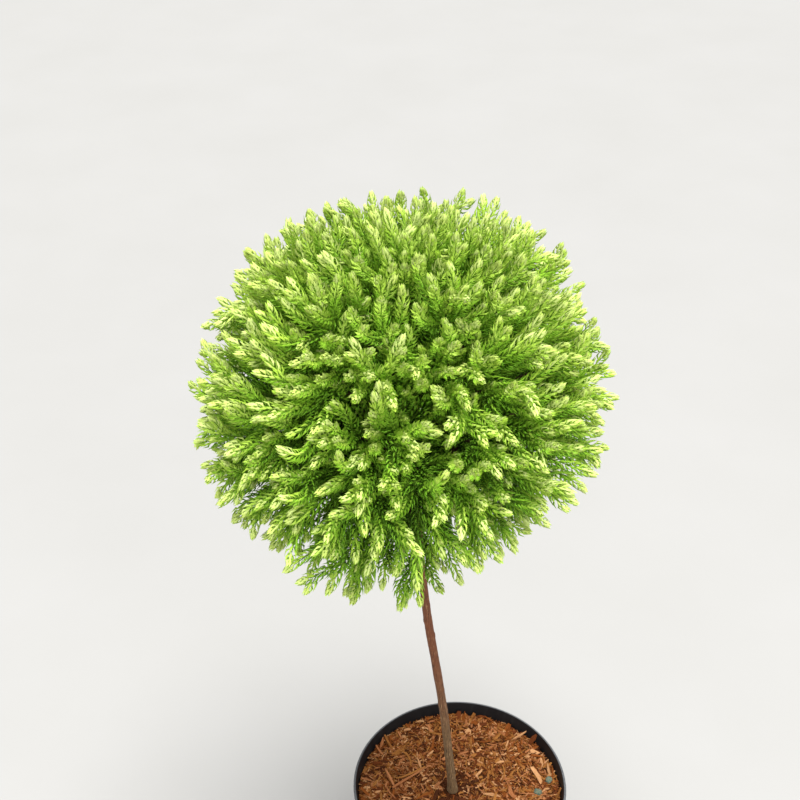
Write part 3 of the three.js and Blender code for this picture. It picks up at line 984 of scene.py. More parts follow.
@dataclass
class BarkMulch:
    """The pot's filling: compost under a layer of chopped bark and wood."""

    pot: NurseryPot
    rule: CrownRule
    below_rim: float = 15
    fall: float = 3
    lump: float = 2.2
    level: float = 14
    gap: float = 0.6
    bed_depth: float = 1.6
    bed_rings: int = 36
    bed_sides: int = 120
    crumb_scale: float = 0.22
    crumb_height: float = 0.9
    shreds: ChipKind = ChipKind(6800, 9, 1.7, 0.9, 0, 0, 0.24)
    chips: ChipKind = ChipKind(2300, 13, 3.1, 1.1, 1, 0.5, 0.14)
    strips: ChipKind = ChipKind(70, 32, 2.0, 1.1, 4, 3.4, 0.06)
    leaning: ChipKind = ChipKind(20, 17, 4.2, 1.2, 1, 0.4, 0.0)
    kind_shapes: int = 6
    longest: float = 44
    length_spread: float = 0.36
    width_spread: float = 0.34
    thickness_span: Pair = (0.6, 1.5)
    roll_spread: float = 0.35
    lift_span: Pair = (-1.6, 1.5)
    lean_span: Pair = (0.35, 0.8)
    edge_gap: float = 1
    heap: float = 1.9
    heap_scale: float = 0.075
    map_span: Pair = (0, 4000)
    noted: tuple[NotedChip, ...] = (
        NotedChip(105, 21, 4, 29, 6, 2.05, -0.28, ChipTone.CREAM),
        NotedChip(85, 86, 9.5, 22, 3.4, 0.2, -0.53, ChipTone.CREAM),
        NotedChip(104, 81, 9.5, 18, 6.5, 0.57, -0.83, ChipTone.RUST),
        NotedChip(121, 31, 6, 18, 3.4, 2.01, -1.07, ChipTone.CREAM),
        NotedChip(70, -4, 2, 18, 7, 1.94, -0.16, ChipTone.SALMON),
        NotedChip(130, -10, 8, 18, 3.4, 0.9, -0.99, ChipTone.TAN),
        NotedChip(43, -9, 1.5, 22, 5, 2.99, -0.05, ChipTone.CREAM),
        NotedChip(-104, 75, 7, 15, 4, 1.21, -0.61, ChipTone.SALMON),
        NotedChip(-37, 2, 1.5, 12, 6, 0.49, -0.09, ChipTone.CREAM),
    )
    noted_strips: tuple[NotedChip, ...] = (
        NotedChip(-68, 17, 4.2, 50, 3.2, 0.62, -0.03, ChipTone.SALMON),
        NotedChip(-64, 26, 3.8, 44, 2.6, 0.5, 0.03, ChipTone.TAN),
        NotedChip(-92, 17, 4.5, 34, 3.2, 2.01, -0.1, ChipTone.SALMON),
    )
    noted_thickness: float = 1.5
    noted_roll: float = 0.15
    noted_seed: int = SEED + 40
    tone_shares: tuple[float, ...] = (0.10, 0.20, 0.23, 0.22, 0.16, 0.09)
    stem_dark_share: float = 0.75
    stem_dark_radius: float = 30
    stem_clear: float = 8
    stem_clear_share: float = 0.4
    lean_lift: float = 0.35
    wave_along: Pair = (0.071, 1.1)
    wave_across: Pair = (0.083, -0.6)
    wave_slant: float = 0.13
    wave_shares: Pair = (0.6, 0.4)
    crumb_noise: tuple[float, float, int] = (0.7, 2.1, 4)
    chip_bend: float = 0.5
    chip_points: Pair = (0.2, 0.85)
    chip_slants: Pair = (0.02, 0.1)
    chip_roughness: Pair = (0.09, 0.12)

    def __post_init__(self) -> None:
        """Works out the height of the filling's top."""
        self.top = self.pot.height - self.below_rim

    def height_at(self, x: Number, y: Number) -> Number:
        """The height of the bark in the pot.

        Args:
            x: Where it is asked for.
            y: The same, along the other axis.

        Returns:
            The height above the pot's foot.
        """
        across = np.minimum(np.hypot(x, y) / self.pot.rim_radius, 1)
        along, aside = self.wave_along, self.wave_across
        wide = np.sin(x * along[0] + along[1]) * np.cos(y * aside[0] + aside[1])
        lump = self.wave_shares[0] * wide + self.wave_shares[1] * np.sin((x - y) * self.wave_slant)
        open_share = smooth_step(self.level, self.level * 3, np.hypot(x - self.rule.foot[0], y))
        return self.top - (self.fall * across * across + self.lump * (1 - lump) * 0.5) * open_share

    def _bed(self) -> BMesh:
        """The compost's body, turned from its outline.

        Returns:
            The body, with a crumbly top.
        """
        edge = self.pot.inner_radius(self.top - self.fall - self.lump) - self.gap
        low = self.pot.floor + self.gap / 2
        outline = [(0, low), (self.pot.inner_radius(self.pot.floor) - self.gap, low)]
        outline.append((self.pot.inner_radius(self.pot.collar_foot) - self.gap, self.pot.collar_foot))
        outline += [(edge * share, self.top) for share in np.linspace(1, 0, self.bed_rings)]
        shape = turned(outline, self.bed_sides)
        for corner in shape.verts:
            if corner.co.z > self.top - 1:
                x, y = corner.co.x, corner.co.y
                place = Vector((x * self.crumb_scale, y * self.crumb_scale, 3.1))
                crumbs = self.crumb_height * noise.fractal(place, *self.crumb_noise)
                corner.co.z = self.height_at(x, y) - self.bed_depth + crumbs
        return shape

    def _chip_shape(self, seed: int, kind: ChipKind) -> Shape:
        """A splinter one unit long, wide and thick, narrowed and roughened at its ends and a little bent.

        Args:
            seed: What tells this splinter from the others.
            kind: How often it is cut across and how far it curves aside.

        Returns:
            Its vertices and triangles.
        """
        random = np.random.default_rng(seed)
        shape = bmesh.new()
        bmesh.ops.create_cube(shape, size=1)
        if kind.cuts:
            long_edges = [e for e in shape.edges if abs(e.verts[0].co.x - e.verts[1].co.x) > 0.5]
            bmesh.ops.subdivide_edges(shape, edges=long_edges, cuts=kind.cuts)
        bend = random.normal(0, self.chip_bend)
        curve = random.uniform(-1, 1) * kind.curve
        point = random.uniform(*self.chip_points, 2)
        slant = self.chip_slants[0] + self.chip_slants[1] / (1 + kind.cuts)
        rough_aside, rough_up = self.chip_roughness
        for corner in shape.verts:
            x, y, z = corner.co
            narrow = mix(1.0, point[int(x > 0)], (2 * abs(x)) ** 2)
            arch = 1 - 4 * x * x
            corner.co.y = y * narrow + curve * arch + random.normal(0, rough_aside)
            corner.co.x = x + y * random.normal(0, slant)
            corner.co.z = z * (0.5 + 0.5 * narrow) + bend * arch * 0.5 + random.normal(0, rough_up)
        bmesh.ops.triangulate(shape, faces=shape.faces)
        bmesh.ops.recalc_face_normals(shape, faces=shape.faces)
        shape.verts.index_update()
        points = np.array([corner.co[:] for corner in shape.verts])
        faces = np.array([[corner.index for corner in face.verts] for face in shape.faces])
        shape.free()
        return points, faces

    @staticmethod
    def _lay(heap: MeshArrays, splinter: Shape, sizes: np.ndarray, place: Triple, angles: Triple,
             mark: np.ndarray) -> None:
        """Lays one splinter in the bed.

        Args:
            heap: What it is added to.
            splinter: Its shape.
            sizes: Its length, width and thickness.
            place: Where its middle lies.
            angles: Its turn, its tilt along itself and its roll.
            mark: Where its grain begins on the map.
        """
        turns = [Matrix.Rotation(angle, 3, axis) for angle, axis in zip(angles, "ZYX")]
        local = splinter[0] * sizes
        laid = local @ np.array(turns[0] @ turns[1] @ turns[2]).T + np.array(place)
        heap.add(laid, splinter[1], np.stack([local[:, 0], local[:, 1] + local[:, 2]], 1) + mark)

    def _tone(self, random: np.random.Generator, far: float) -> ChipTone:
        """Deals out a tone, darker near the stem's foot.

        Args:
            random: The stream that it is dealt by.
            far: How far from the stem's foot the chip lies.

        Returns:
            The tone.
        """
        if random.random() < self.stem_dark_share * math.exp(-((far / self.stem_dark_radius) ** 2)):
            return ChipTone.DARK
        dealt = np.searchsorted(np.cumsum(self.tone_shares), random.random() * 0.999)
        return list(ChipTone)[int(dealt)]

    def _size(self, kind: ChipKind, random: np.random.Generator) -> np.ndarray:
        """One chip's size.

        Args:
            kind: Its kind.
            random: The stream that it varies by.

        Returns:
            Its length, width and thickness.
        """
        length = min(kind.length * math.exp(random.normal(0, self.length_spread)), self.longest)
        width = kind.width * math.exp(random.normal(0, self.width_spread))
        return np.array([length, width, kind.thickness * random.uniform(*self.thickness_span)])

    def _strew(self, heaps: dict[ChipTone, MeshArrays], kind: ChipKind, random: np.random.Generator) -> None:
        """Strews one kind of chip over the bed.

        Args:
            heaps: What the chips are added to, by tone.
            kind: The kind.
            random: The stream that they vary by.
        """
        shapes = [self._chip_shape(SEED + i, kind) for i in range(self.kind_shapes)]
        edge = self.pot.inner_radius(self.top) - self.edge_gap
        for i in range(kind.count):
            sizes = self._size(kind, random)
            around = random.uniform(0, 2 * math.pi)
            turn = random.uniform(0, 2 * math.pi)
            tilt = random.normal(0, kind.tilt)
            roll = random.normal(0, self.roll_spread)
            far = edge * math.sqrt(random.random())
            lift = random.uniform(*self.lift_span)
            if kind is self.leaning:
                turn = around + random.normal(0, self.roll_spread)
                tilt = -random.uniform(*self.lean_span)
                far = edge
                lift = self.lean_lift * sizes[0] * math.sin(-tilt)
            half = 0.5 * (sizes[0] * abs(math.cos(turn - around)) + sizes[1] * abs(math.sin(turn - around)))
            far = min(far, edge - half)
            x, y = far * math.cos(around), far * math.sin(around)
            from_stem = math.hypot(x - self.rule.foot[0], y)
            if from_stem < self.stem_clear + self.stem_clear_share * sizes[0]:
                continue
            lift += noise.noise(Vector((x * self.heap_scale, y * self.heap_scale, 7.7))) * self.heap
            mark = random.uniform(*self.map_span, 2)
            heap = heaps[self._tone(random, from_stem)]
            place = (x, y, self.height_at(x, y) + lift)
            self._lay(heap, shapes[i % len(shapes)], sizes, place, (turn, tilt, roll), mark)

    def _scatter(self) -> dict[ChipTone, MeshArrays]:
        """Lays all the chips.

        Returns:
            The chips, tone by tone.
        """
        random = np.random.default_rng(SEED)
        heaps = {tone: MeshArrays() for tone in ChipTone}
        for kind in (self.shreds, self.chips, self.strips, self.leaning):
            self._strew(heaps, kind, random)
        for i, chip in enumerate(self.noted + self.noted_strips):
            kind = self.chips if chip in self.noted else self.strips
            shape = self._chip_shape(self.noted_seed + i, kind)
            sizes = np.array([chip.length, chip.width, self.noted_thickness])
            place = (chip.x, chip.y, self.height_at(chip.x, chip.y) + chip.above)
            angles = (chip.turn, chip.tilt, self.noted_roll)
            self._lay(heaps[chip.tone], shape, sizes, place, angles, random.uniform(*self.map_span, 2))
        return heaps

    def build(self) -> None:
        """Makes the bed and the chips and dresses them."""
        settle(close_up("compost_bed", self._bed()), DampCompost().make(), "bark_chips", "compost")
        for tone, heap in self._scatter().items():
            piece = heap.join(f"bark_chips_{tone.name.lower()}")
            settle(piece, tone.value.make(), "bark_chips", "compost")


class TabletPlace(NamedTuple):
    """Where a feed tablet lies and how it is turned and tilted."""

    node: str
    x: float
    y: float
    turn: float
    tilt: float


@dataclass
class FeedTablets:
    """Two pressed feed tablets that lie in the bark."""

    mulch: BarkMulch
    foot: float = 11
    head: float = 9
    height: float = 8
    sunk: float = 3.6
    sides: int = 28
    edge_round: float = 0.9
    crumbles: tuple[Pair, ...] = ((0.28, 1.5), (1.1, 0.675))
    places: tuple[TabletPlace, ...] = (
        TabletPlace("feed_tablet_1", 120, 17, 0.5, 0.2),
        TabletPlace("feed_tablet_2", 104, -4, 1.3, -0.15),
    )

    def _tablet(self, place: TabletPlace) -> BMesh:
        """One tablet with worn edges.

        Args:
            place: Where it lies.

        Returns:
            The tablet, there.
        """
        shape = bmesh.new()
        add_cone(shape, self.sides, (self.foot / 2, self.head / 2), self.height, Matrix.Identity(4))
        rims = [edge for edge in shape.edges if abs(edge.verts[0].co.z - edge.verts[1].co.z) < SAME]
        round_off(shape, rims, self.edge_round, 3)
        for corner in shape.verts:
            for scale, depth in self.crumbles:
                corner.co += noise.noise_vector(corner.co * scale + Vector((place.x, 0, 0))) * depth
        middle = self.mulch.height_at(place.x, place.y) + self.height / 2 - self.sunk
        move = Matrix.Translation((place.x, place.y, middle))
        laid = move @ Matrix.Rotation(place.turn, 4, "Z") @ Matrix.Rotation(place.tilt, 4, "X")
        bmesh.ops.transform(shape, matrix=laid, verts=shape.verts)
        return shape

    def build(self) -> None:
        """Makes the tablets and dresses them."""
        material = PressedFeed().make()
        for place in self.places:
            piece = close_up(f"{place.node}_worn", self._tablet(place))
            settle(piece, material, "feed_tablet", place.node)


@dataclass
class CedarWood:
    """The stem and the boughs, with the relief of their bark."""

    rule: CrownRule
    stem_radius: float = 5.5
    stem_tip_radius: float = 4.6
    flare_radius: float = 7.5
    flare_height: float = 16
    stem_sunk: float = 12
    knots: int = 8
    waver: float = 3
    waves: tuple[Pair, ...] = ((7.5, 0.4), (5.5, 2.1))
    graft_below_centre: float = 70
    graft_swell: float = 2.8
    graft_height: float = 16
    head_radius: float = 12
    head_half_height: float = 30
    head_top_share: float = 0.6
    head_swells: Pair = (-1.7, -0.6)
    head_narrows: Pair = (0.5, 1.0)
    stem_sides: int = 36
    stem_cuts: int = 17
    stem_step: float = 0.002
    fibre: float = 0.42
    fibre_scales: Pair = (0.55, 0.05)
    fibre_level: Pair = (0.45, 0.6)
    lump: float = 0.3
    lump_scale: float = 0.03
    scar_every: float = 31
    scar_span: Pair = (40, 90)
    scar_stray: Pair = (9, 0.4)
    scar_size: float = 3.2
    scar_height: float = 1.1
    scar_pit: float = 0.45
    scar_pit_steepness: float = 5
    scar_reach: float = 2.2
    bough_radius: float = 4
    bough_tip_radius: float = 2.6
    bough_seat: float = 0.72
    bough_straight: float = 0.45
    bough_fibre: float = 0.35
    bough_fibre_scales: Triple = (1.6, 4, 7)
    bough_sides: int = 14
    bough_cuts: int = 20

    def __post_init__(self) -> None:
        """Works out the stem's middle line and its scars."""
        self.knot_points = self._stem_knots()
        self.scars = self._scars()

    def _stem_knots(self) -> np.ndarray:
        """Lays out the stem.

        Returns:
            The points that its middle line runs through.
        """
        foot, middle = self.rule.foot, self.rule.middle
        points = [foot - unit(middle - foot) * self.stem_sunk]
        for i in range(self.knots + 1):
            t = i / self.knots
            swing = self.waver * math.sin(math.pi * t)
            aside = np.array([*(math.sin(pace * t + start) for pace, start in self.waves), 0])
            points.append(foot + (middle - foot) * t + swing * aside)
        points.append(middle + UP * self.head_half_height)
        return np.array(points)

    def _stem_line(self, t: float) -> np.ndarray:
        """A point on the stem's middle line, which bends softly through its knots.

        Args:
            t: The share of the way along.

        Returns:
            The point.
        """
        knots = self.knot_points
        along = min(max(t, 0.0), 1.0) * (len(knots) - 1)
        i = min(int(along), len(knots) - 2)
        before = knots[i - 1] if i > 0 else 2 * knots[0] - knots[1]
        after = knots[i + 2] if i + 2 < len(knots) else 2 * knots[-1] - knots[-2]
        a, b = knots[i], knots[i + 1]
        gaps = [max(np.linalg.norm(q - p) ** 0.5, 1e-4) for p, q in ((before, a), (a, b), (b, after))]
        leave = (a - before) / gaps[0] - (b - before) / (gaps[0] + gaps[1]) + (b - a) / gaps[1]
        arrive = (b - a) / gaps[1] - (after - a) / (gaps[1] + gaps[2]) + (after - b) / gaps[2]
        leave, arrive = leave * gaps[1], arrive * gaps[1]
        s = along - i
        cubic = 2 * a - 2 * b + leave + arrive
        square = -3 * a + 3 * b - 2 * leave - arrive
        return ((cubic * s + square) * s + leave) * s + a

    def _radius_at(self, height: float) -> float:
        """The stem's radius, with its root flare, its graft and its head.

        Args:
            height: The height above the pot's foot.

        Returns:
            The radius there.
        """
        over_foot = max(height - self.rule.foot[2], 0)
        from_centre = height - self.rule.middle[2]
        graft_at = (from_centre + self.graft_below_centre) / self.graft_height
        whole = self.rule.middle[2] - self.rule.foot[2]
        plain = mix(self.stem_radius, self.stem_tip_radius, over_foot / whole)
        flare = (self.flare_radius - self.stem_radius) * math.exp(-((over_foot / self.flare_height) ** 1.5))
        graft = self.graft_swell * math.exp(-(graft_at**2))
        in_head = from_centre / self.head_half_height
        head = (self.head_radius - self.stem_tip_radius) * smooth_step(*self.head_swells, in_head)
        shoulder = mix(1, self.head_top_share, smooth_step(*self.head_narrows, in_head))
        return (plain + flare + graft + head) * shoulder

    def _scars(self) -> list[Pair]:
        """Deals out the scars that trimmed side shoots have left.

        Returns:
            Their heights and turns.
        """
        random = np.random.default_rng(SEED + 5)
        low, high = self.rule.foot[2] + self.scar_span[0], self.rule.middle[2] - self.scar_span[1]
        scars = []
        for i, height in enumerate(np.arange(low, high, self.scar_every)):
            up, aside = (random.uniform(-stray, stray) for stray in self.scar_stray)
            scars.append((height + up, i * GOLDEN_TURN + aside))
        return scars

    def _skin(self, point: Vector, angle: float, radius: float) -> float:
        """How far the bark stands out at a point of the stem.

        Args:
            point: The point.
            angle: Its turn round the stem.
            radius: The stem's radius there.

        Returns:
            The height of the relief.
        """
        x, y = math.cos(angle), math.sin(angle)
        around, along = self.fibre_scales
        share, drop = self.fibre_level
        fibres = ridges(Vector((x * radius * around, y * radius * around, point.z * along)), 4)
        lumps = noise.noise(Vector((x, y, point.z * self.lump_scale)))
        relief = self.fibre * (fibres * share - drop) + self.lump * lumps
        for height, turn in self.scars:
            up = (point.z - height) / self.scar_size
            if abs(up) < self.scar_reach:
                aside = math.remainder(angle - turn, 2 * math.pi) * radius / self.scar_size
                spread = up * up + aside * aside
                pit = self.scar_pit * math.exp(-spread * self.scar_pit_steepness)
                relief += self.scar_height * (math.exp(-spread) - pit)
        return relief

    @staticmethod
    def _sleeve(sides: int, cuts: int, rounds: int) -> BMesh:
        """A closed sleeve of unit radius from 0 to 1 along Z.

        Args:
            sides: How many sides it has.
            cuts: How many cuts part each length in a round.
            rounds: How many rounds of cuts it gets.

        Returns:
            The sleeve, in even rings.
        """
        shape = bmesh.new()
        add_cone(shape, sides, (1, 1), 1, Matrix.Translation((0, 0, 0.5)))
        for _ in range(rounds):
            upright = [e for e in shape.edges if abs(e.verts[0].co.z - e.verts[1].co.z) > 1e-6]
            bmesh.ops.subdivide_edges(shape, edges=upright, cuts=cuts, use_grid_fill=True)
        return shape

    def _stem(self) -> BMesh:
        """The stem, a sleeve drawn along its middle line.

        Returns:
            The stem, cut level at the bark.
        """
        shape = self._sleeve(self.stem_sides, self.stem_cuts, 2)
        for corner in shape.verts:
            t = corner.co.z
            angle = math.atan2(corner.co.y, corner.co.x)
            here = self._stem_line(t)
            before, after = max(t - self.stem_step, 0), min(t + self.stem_step, 1)
            ahead = unit(self._stem_line(after) - self._stem_line(before))
            across, over = round_frame(ahead[None], UP)
            radius = self._radius_at(here[2])
            relief = self._skin(Vector(here), angle, radius)
            corner.co = Vector(here + spoke_at(across[0], over[0], angle) * (radius + relief))
        whole = shape.verts[:] + shape.edges[:] + shape.faces[:]
        ground = {"plane_co": tuple(self.rule.foot), "plane_no": (0, 0, 1)}
        cut = bmesh.ops.bisect_plane(shape, geom=whole, clear_inner=True, **ground)
        rim = [part for part in cut["geom_cut"] if isinstance(part, BMEdge)]
        bmesh.ops.holes_fill(shape, edges=rim, sides=0)
        return shape

    def _bough_line(self, direction: np.ndarray) -> Arc:
        """A bough's middle line.

        Args:
            direction: Where its mass lies from the crown's centre.

        Returns:
            The line from the stem's head to where its mass begins.
        """
        seat = self.rule.middle + UP * (direction[2] * self.head_half_height * self.bough_seat)
        end = self.rule.middle + direction * (self.rule.bough_share * self.rule.radius)
        return Arc(seat, end - direction * (np.linalg.norm(end - seat) * self.bough_straight), end)

    def _boughs(self) -> BMesh:
        """Draws a sleeve along each bough's line.

        Returns:
            All the boughs.
        """
        joined = bmesh.new()
        wide, high, apart = self.bough_fibre_scales
        for place, limb in enumerate(self.rule.limbs):
            line = self._bough_line(limb.direction)
            shape = self._sleeve(self.bough_sides, self.bough_cuts, 1)
            shares = np.array([corner.co.z for corner in shape.verts])
            across, over = round_frame(line.heading(shares), line.end - line.start)
            middles = line.at(shares)
            for i, corner in enumerate(shape.verts):
                angle = math.atan2(corner.co.y, corner.co.x)
                height = shares[i] * high + place * apart
                spot = Vector((math.cos(angle) * wide, math.sin(angle) * wide, height))
                relief = self.bough_fibre * (ridges(spot, 3) - 1)
                radius = mix(self.bough_radius, self.bough_tip_radius, shares[i]) + relief
                corner.co = Vector(middles[i] + spoke_at(across[i], over[i], angle) * radius)
            mesh = bpy.data.meshes.new("bough")
            shape.to_mesh(mesh)
            shape.free()
            joined.from_mesh(mesh)
            bpy.data.meshes.remove(mesh)
        return joined

    def build(self) -> None:
        """Makes the stem and the boughs and dresses them."""
        settle(close_up("stem_bark", self._stem()), CedarBark().make(), "bark", "stem")
        dull = (paint(71, 61, 37), paint(66, 49, 31), paint(34, 27, 17), paint(95, 76, 51))
        boughs = [f"bough_{limb.label}" for limb in self.rule.limbs]
        settle(close_up("bough_bark", self._boughs()), CedarBark("bough_bark", *dull).make(), "bark", *boughs)


class Layer(NamedTuple):
    """One layer of side shoots: how many are tried, how they grow and what needles they bear."""

    count: int
    least: float
    most: float
    fork_least: float
    stray: float
    under_loss: float
    ageing: float
    spacing: float
    length: float
    width: float
    keeled: bool


class Shoot(NamedTuple):
    """A leafy shoot: its line, its bare share, its first needle's turn, its age and how fast its needles pass
    to darker tints along it, faster low on the crown as painted shade.
    """

    line: Arc
    bare: float
    twist: float
    ageing: float
    pace: float
    owner: int
    layer: Layer


class Leader(NamedTuple):
    """A main shoot with the twig that carries it: points along both and how far out each lies."""

    tip: Tip
    line: Arc
    inside: Arc
    path: np.ndarray
    out: np.ndarray


@dataclass
class Foliage:
    """The twigs, shoots and needles that grow on from the boughs by the crown's rule."""

    rule: CrownRule
    outer: Layer = Layer(800, 0.94, 1.04, 62, 0.5, 0.62, 0, 0.98, 12.8, 2.65, True)
    between: Layer = Layer(500, 0.76, 0.92, 52, 0.6, 0.84, 13, 1.12, 12.8, 2.75, True)
    inner: Layer = Layer(1500, 0.4, 0.7, 36, 0.5, 0.5, 42, 1.6, 14.5, 3.3, False)
    fork_angle: float = math.radians(47)
    fork_span: Pair = (0.9, 1.25)
    fork_after: float = 2
    fork_before: float = 10
    carrier_shares: tuple[float, ...] = (0.42, 0.34, 0.24)
    main_gap: float = 9
    straightness: float = 0.52
    lean_out: float = 0.2
    fan_out: float = 0.75
    lift: float = 0.6
    droop: float = 0.08
    lift_rise: Pair = (-0.35, 0.75)
    loose_rise: Pair = (0.3, -0.62)
    follow: float = 0.4
    side_bare: float = 0.06
    spur_share: float = 0.56
    spur_span: Pair = (18, 31)
    spur_back: Pair = (0.9, 1.5)
    spur_leave: Pair = (0.75, 0.66)
    spur_arrive: Pair = (0.9, 0.44)
    spur_bare: float = 0.1
    spur_room: float = 1.6
    bud_length: float = 5.5
    bud_reach: float = 7.5
    bud_growth: float = 12
    bud_span: Pair = (-2.5, 4.125)
    bud_radii: Pair = (1.5, 0.45)
    bud_crowding: float = 0.42
    crowding_end: float = 20
    bud_fullness: float = 1.15
    fullness_end: float = 14
    bud_incurve: float = 1.15
    incurve_span: Pair = (2, 20)
    incurve: float = 0.66
    opening: float = 33
    openings: tuple[Triple, ...] = ((14, 0, 12), (8, 10, 30), (6, 26, 60))
    opening_spread: float = 1.8
    size_spread: float = 0.05
    rank_turn: float = 0.8 * math.pi + 0.06
    rank_spread: float = 0.06
    belly: float = 0.5
    keel: float = 0.55
    flank_drop: float = 0.12
    young_crease: float = math.radians(100)
    # Painted shade: by this many millimetres of age, needles that face down get older, darker tints and those
    # that face up younger, paler ones.
    painted_underside_shade: float = 18
    age_spread: float = 3.2
    shoot_age_spread: float = 4
    # Painted shade: low on the crown, needles pass to darker tints this many times as fast along their shoot;
    # such shoots also bear fewer spurs.
    low_pace: float = 1.9
    pace_rise: Pair = (-0.4, 0.75)
    age_limits: tuple[float, ...] = (9.5, 30, 56, 84)
    limb_span: Pair = (0.37, 0.5)
    limb_radii: Pair = (2.6, 1.6)
    limb_rings: int = 5
    limb_sides: int = 7
    twig_before: float = 0.03
    twig_after: float = 0.12
    twig_knee: float = 0.55
    twig_bow: float = 5
    twig_radii: Pair = (1.9, 1.5)
    twig_rings: int = 7
    twig_sides: int = 5
    twig_overlap: float = 0.3
    shoot_radii: Pair = (0.9, 0.5)
    shoot_sides: int = 3
    needle_seat: float = 0.27
    stem_room: float = 16

    def __post_init__(self) -> None:
        """Deals the limbs out to groups, which are the rings, with the top in the upper one."""
        self.groups = [limb.ring.replace("top", "upper") for limb in self.rule.limbs]

    def _leaders(self, random: np.random.Generator) -> list[Leader]:
        """The shoots that the solids have, each with its twig from the bough's end.

        Args:
            random: The stream that the twigs vary by.

        Returns:
            The main shoots.
        """
        rule = self.rule
        leaders = []
        for tip in rule.tips(rule.shoots, SEED, rule.least_reach, rule.most_reach):
            line = rule.shoot(tip)
            line = Arc(line.start, line.knee, line.end - unit(line.end - line.knee) * self.bud_length)
            first, last = rule.bough_share - self.twig_before, rule.core_share - self.twig_after
            start = rule.leader(tip.owner, random.uniform(first, last))
            bow = rule.directions[tip.owner] * self.twig_bow
            inside = Arc(start, start + (line.start - start) * self.twig_knee + bow, line.start)
            path = np.concatenate([inside.at(np.linspace(0, 1, 6)), line.at(np.linspace(0, 1, 12))[1:]])
            out = np.maximum.accumulate(np.linalg.norm(path - rule.middle, axis=1))
            leaders.append(Leader(tip, line, inside, path, out))
        return leaders

    def _side_shoot(self, tip: Tip, leader: Leader, layer: Layer, random: np.random.Generator) -> Arc:
        """A shoot that forks from a main one.

        Args:
            tip: Where it ends.
            leader: The main shoot.
            layer: The layer that it belongs to.
            random: The stream that it strays by.

        Returns:
            Its line.
        """
        end = self.rule.middle + tip.way * (tip.far - self.bud_length)
        aside = tip.far * math.acos(min(leader.tip.way @ tip.way, 1))
        back = max(aside / math.tan(self.fork_angle), layer.fork_least) * random.uniform(*self.fork_span)
        out = np.clip(tip.far - back, leader.out[0] + self.fork_after, leader.out[-1] - self.fork_before)
        start = np.array([np.interp(out, leader.out, leader.path[:, k]) for k in range(3)])
        run = end - start
        outward = unit(run - leader.tip.way * (run @ leader.tip.way))
        rise = UP * mix(-self.droop, self.lift, smooth_step(*self.lift_rise, tip.way[2]))
        fan = self.fan_out * (tip.way - self.rule.directions[tip.owner])
        stray = random.normal(0, layer.stray, 3)
        arrive = unit(tip.way + rise + self.lean_out * outward + fan + stray + self.follow * unit(run))
        return Arc(start, end - arrive * (np.linalg.norm(run) * self.straightness), end)

    def _stays_in(self, line: Arc) -> bool:
        """Whether the outer half of a shoot keeps within the crown's reach and off the stem.

        Args:
            line: The shoot's line.

        Returns:
            True if it does.
        """
        points = line.at(np.array([0.5, 0.75, 1.0])) - self.rule.middle
        far = np.linalg.norm(points, axis=1)
        ways = points / far[:, None]
        along_stem = ways @ self.rule.stem_way
        off_stem = far * np.sqrt(np.clip(1 - along_stem**2, 0, 1)) > self.stem_room
        within = far < self.rule.reach(ways) * self.rule.most_reach
        return bool(np.all(within & (off_stem | (along_stem < 0))))

    def _pace(self, tip: Tip) -> float:
        """How fast needles pass to darker tints along a shoot: faster low on the crown, as painted shade
        under the crown.
        """
        return mix(self.low_pace, 1.0, smooth_step(*self.pace_rise, tip.way[2]))

    def _spur(self, shoot: Shoot, random: np.random.Generator) -> Shoot:
        """A short shoot on the side of another.

        Args:
            shoot: The shoot that it grows from.
            random: The stream that it varies by.

        Returns:
            The short shoot.
        """
        size = random.uniform(*self.spur_span)
        back = random.uniform(*self.spur_back) * size / max(shoot.line.length, size * self.spur_room)
        share = np.array([1 - back])
        heading = shoot.line.heading(share)
        across, over = round_frame(heading, shoot.line.end - shoot.line.start)
        turn = random.uniform(0, 2 * math.pi)
        aside = spoke_at(across[0], over[0], turn)
        corners = [shoot.line.at(share)[0]]
        for ahead, sideways in (self.spur_leave, self.spur_arrive):
            corners.append(corners[-1] + (ahead * heading[0] + sideways * aside) * (size * 0.5))
        return shoot._replace(line=Arc(*corners), bare=self.spur_bare, twist=turn)

    def _grow(self) -> tuple[list[Shoot], list[Leader]]:
        """Grows every shoot of the crown.

        Returns:
            The shoots, and the main ones with their twigs.
        """
        random = np.random.default_rng(SEED + 11)
        leaders = self._leaders(random)
        ways = np.array([leader.tip.way for leader in leaders])
        shoots = []

        def bear(line: Arc, bare: float, tip: Tip, layer: Layer) -> None:
            """Adds a shoot of its tip's ring and pace."""
            ageing = layer.ageing + random.normal(0, self.shoot_age_spread)
            shoots.append(Shoot(line, bare, tip.twist, ageing, self._pace(tip), tip.owner, layer))

        for leader in leaders:
            bear(leader.line, 0.0, leader.tip, self.outer)
        for number, layer in enumerate((self.outer, self.between, self.inner)):
            for tip in self.rule.tips(layer.count, SEED + 1 + number, layer.least, layer.most):
                near = np.argsort(-(ways @ tip.way))[:3]
                aside = math.acos(min(ways[near[0]] @ tip.way, 1)) * tip.far
                if layer is self.outer and aside < self.main_gap:
                    continue
                carrier = int(random.choice(near, p=self.carrier_shares))
                line = self._side_shoot(tip, leaders[carrier], layer, random)
                loss = layer.under_loss * smooth_step(*self.loose_rise, tip.way[2])
                if self._stays_in(line) and random.random() >= loss:
                    bear(line, self.side_bare, tip, layer)
        spurs = []
        for shoot in shoots:
            if shoot.layer is not self.inner and random.random() < self.spur_share / shoot.pace:
                spurs.append(self._spur(shoot, random))
        return shoots + [spur for spur in spurs if self._stays_in(spur.line)], leaders

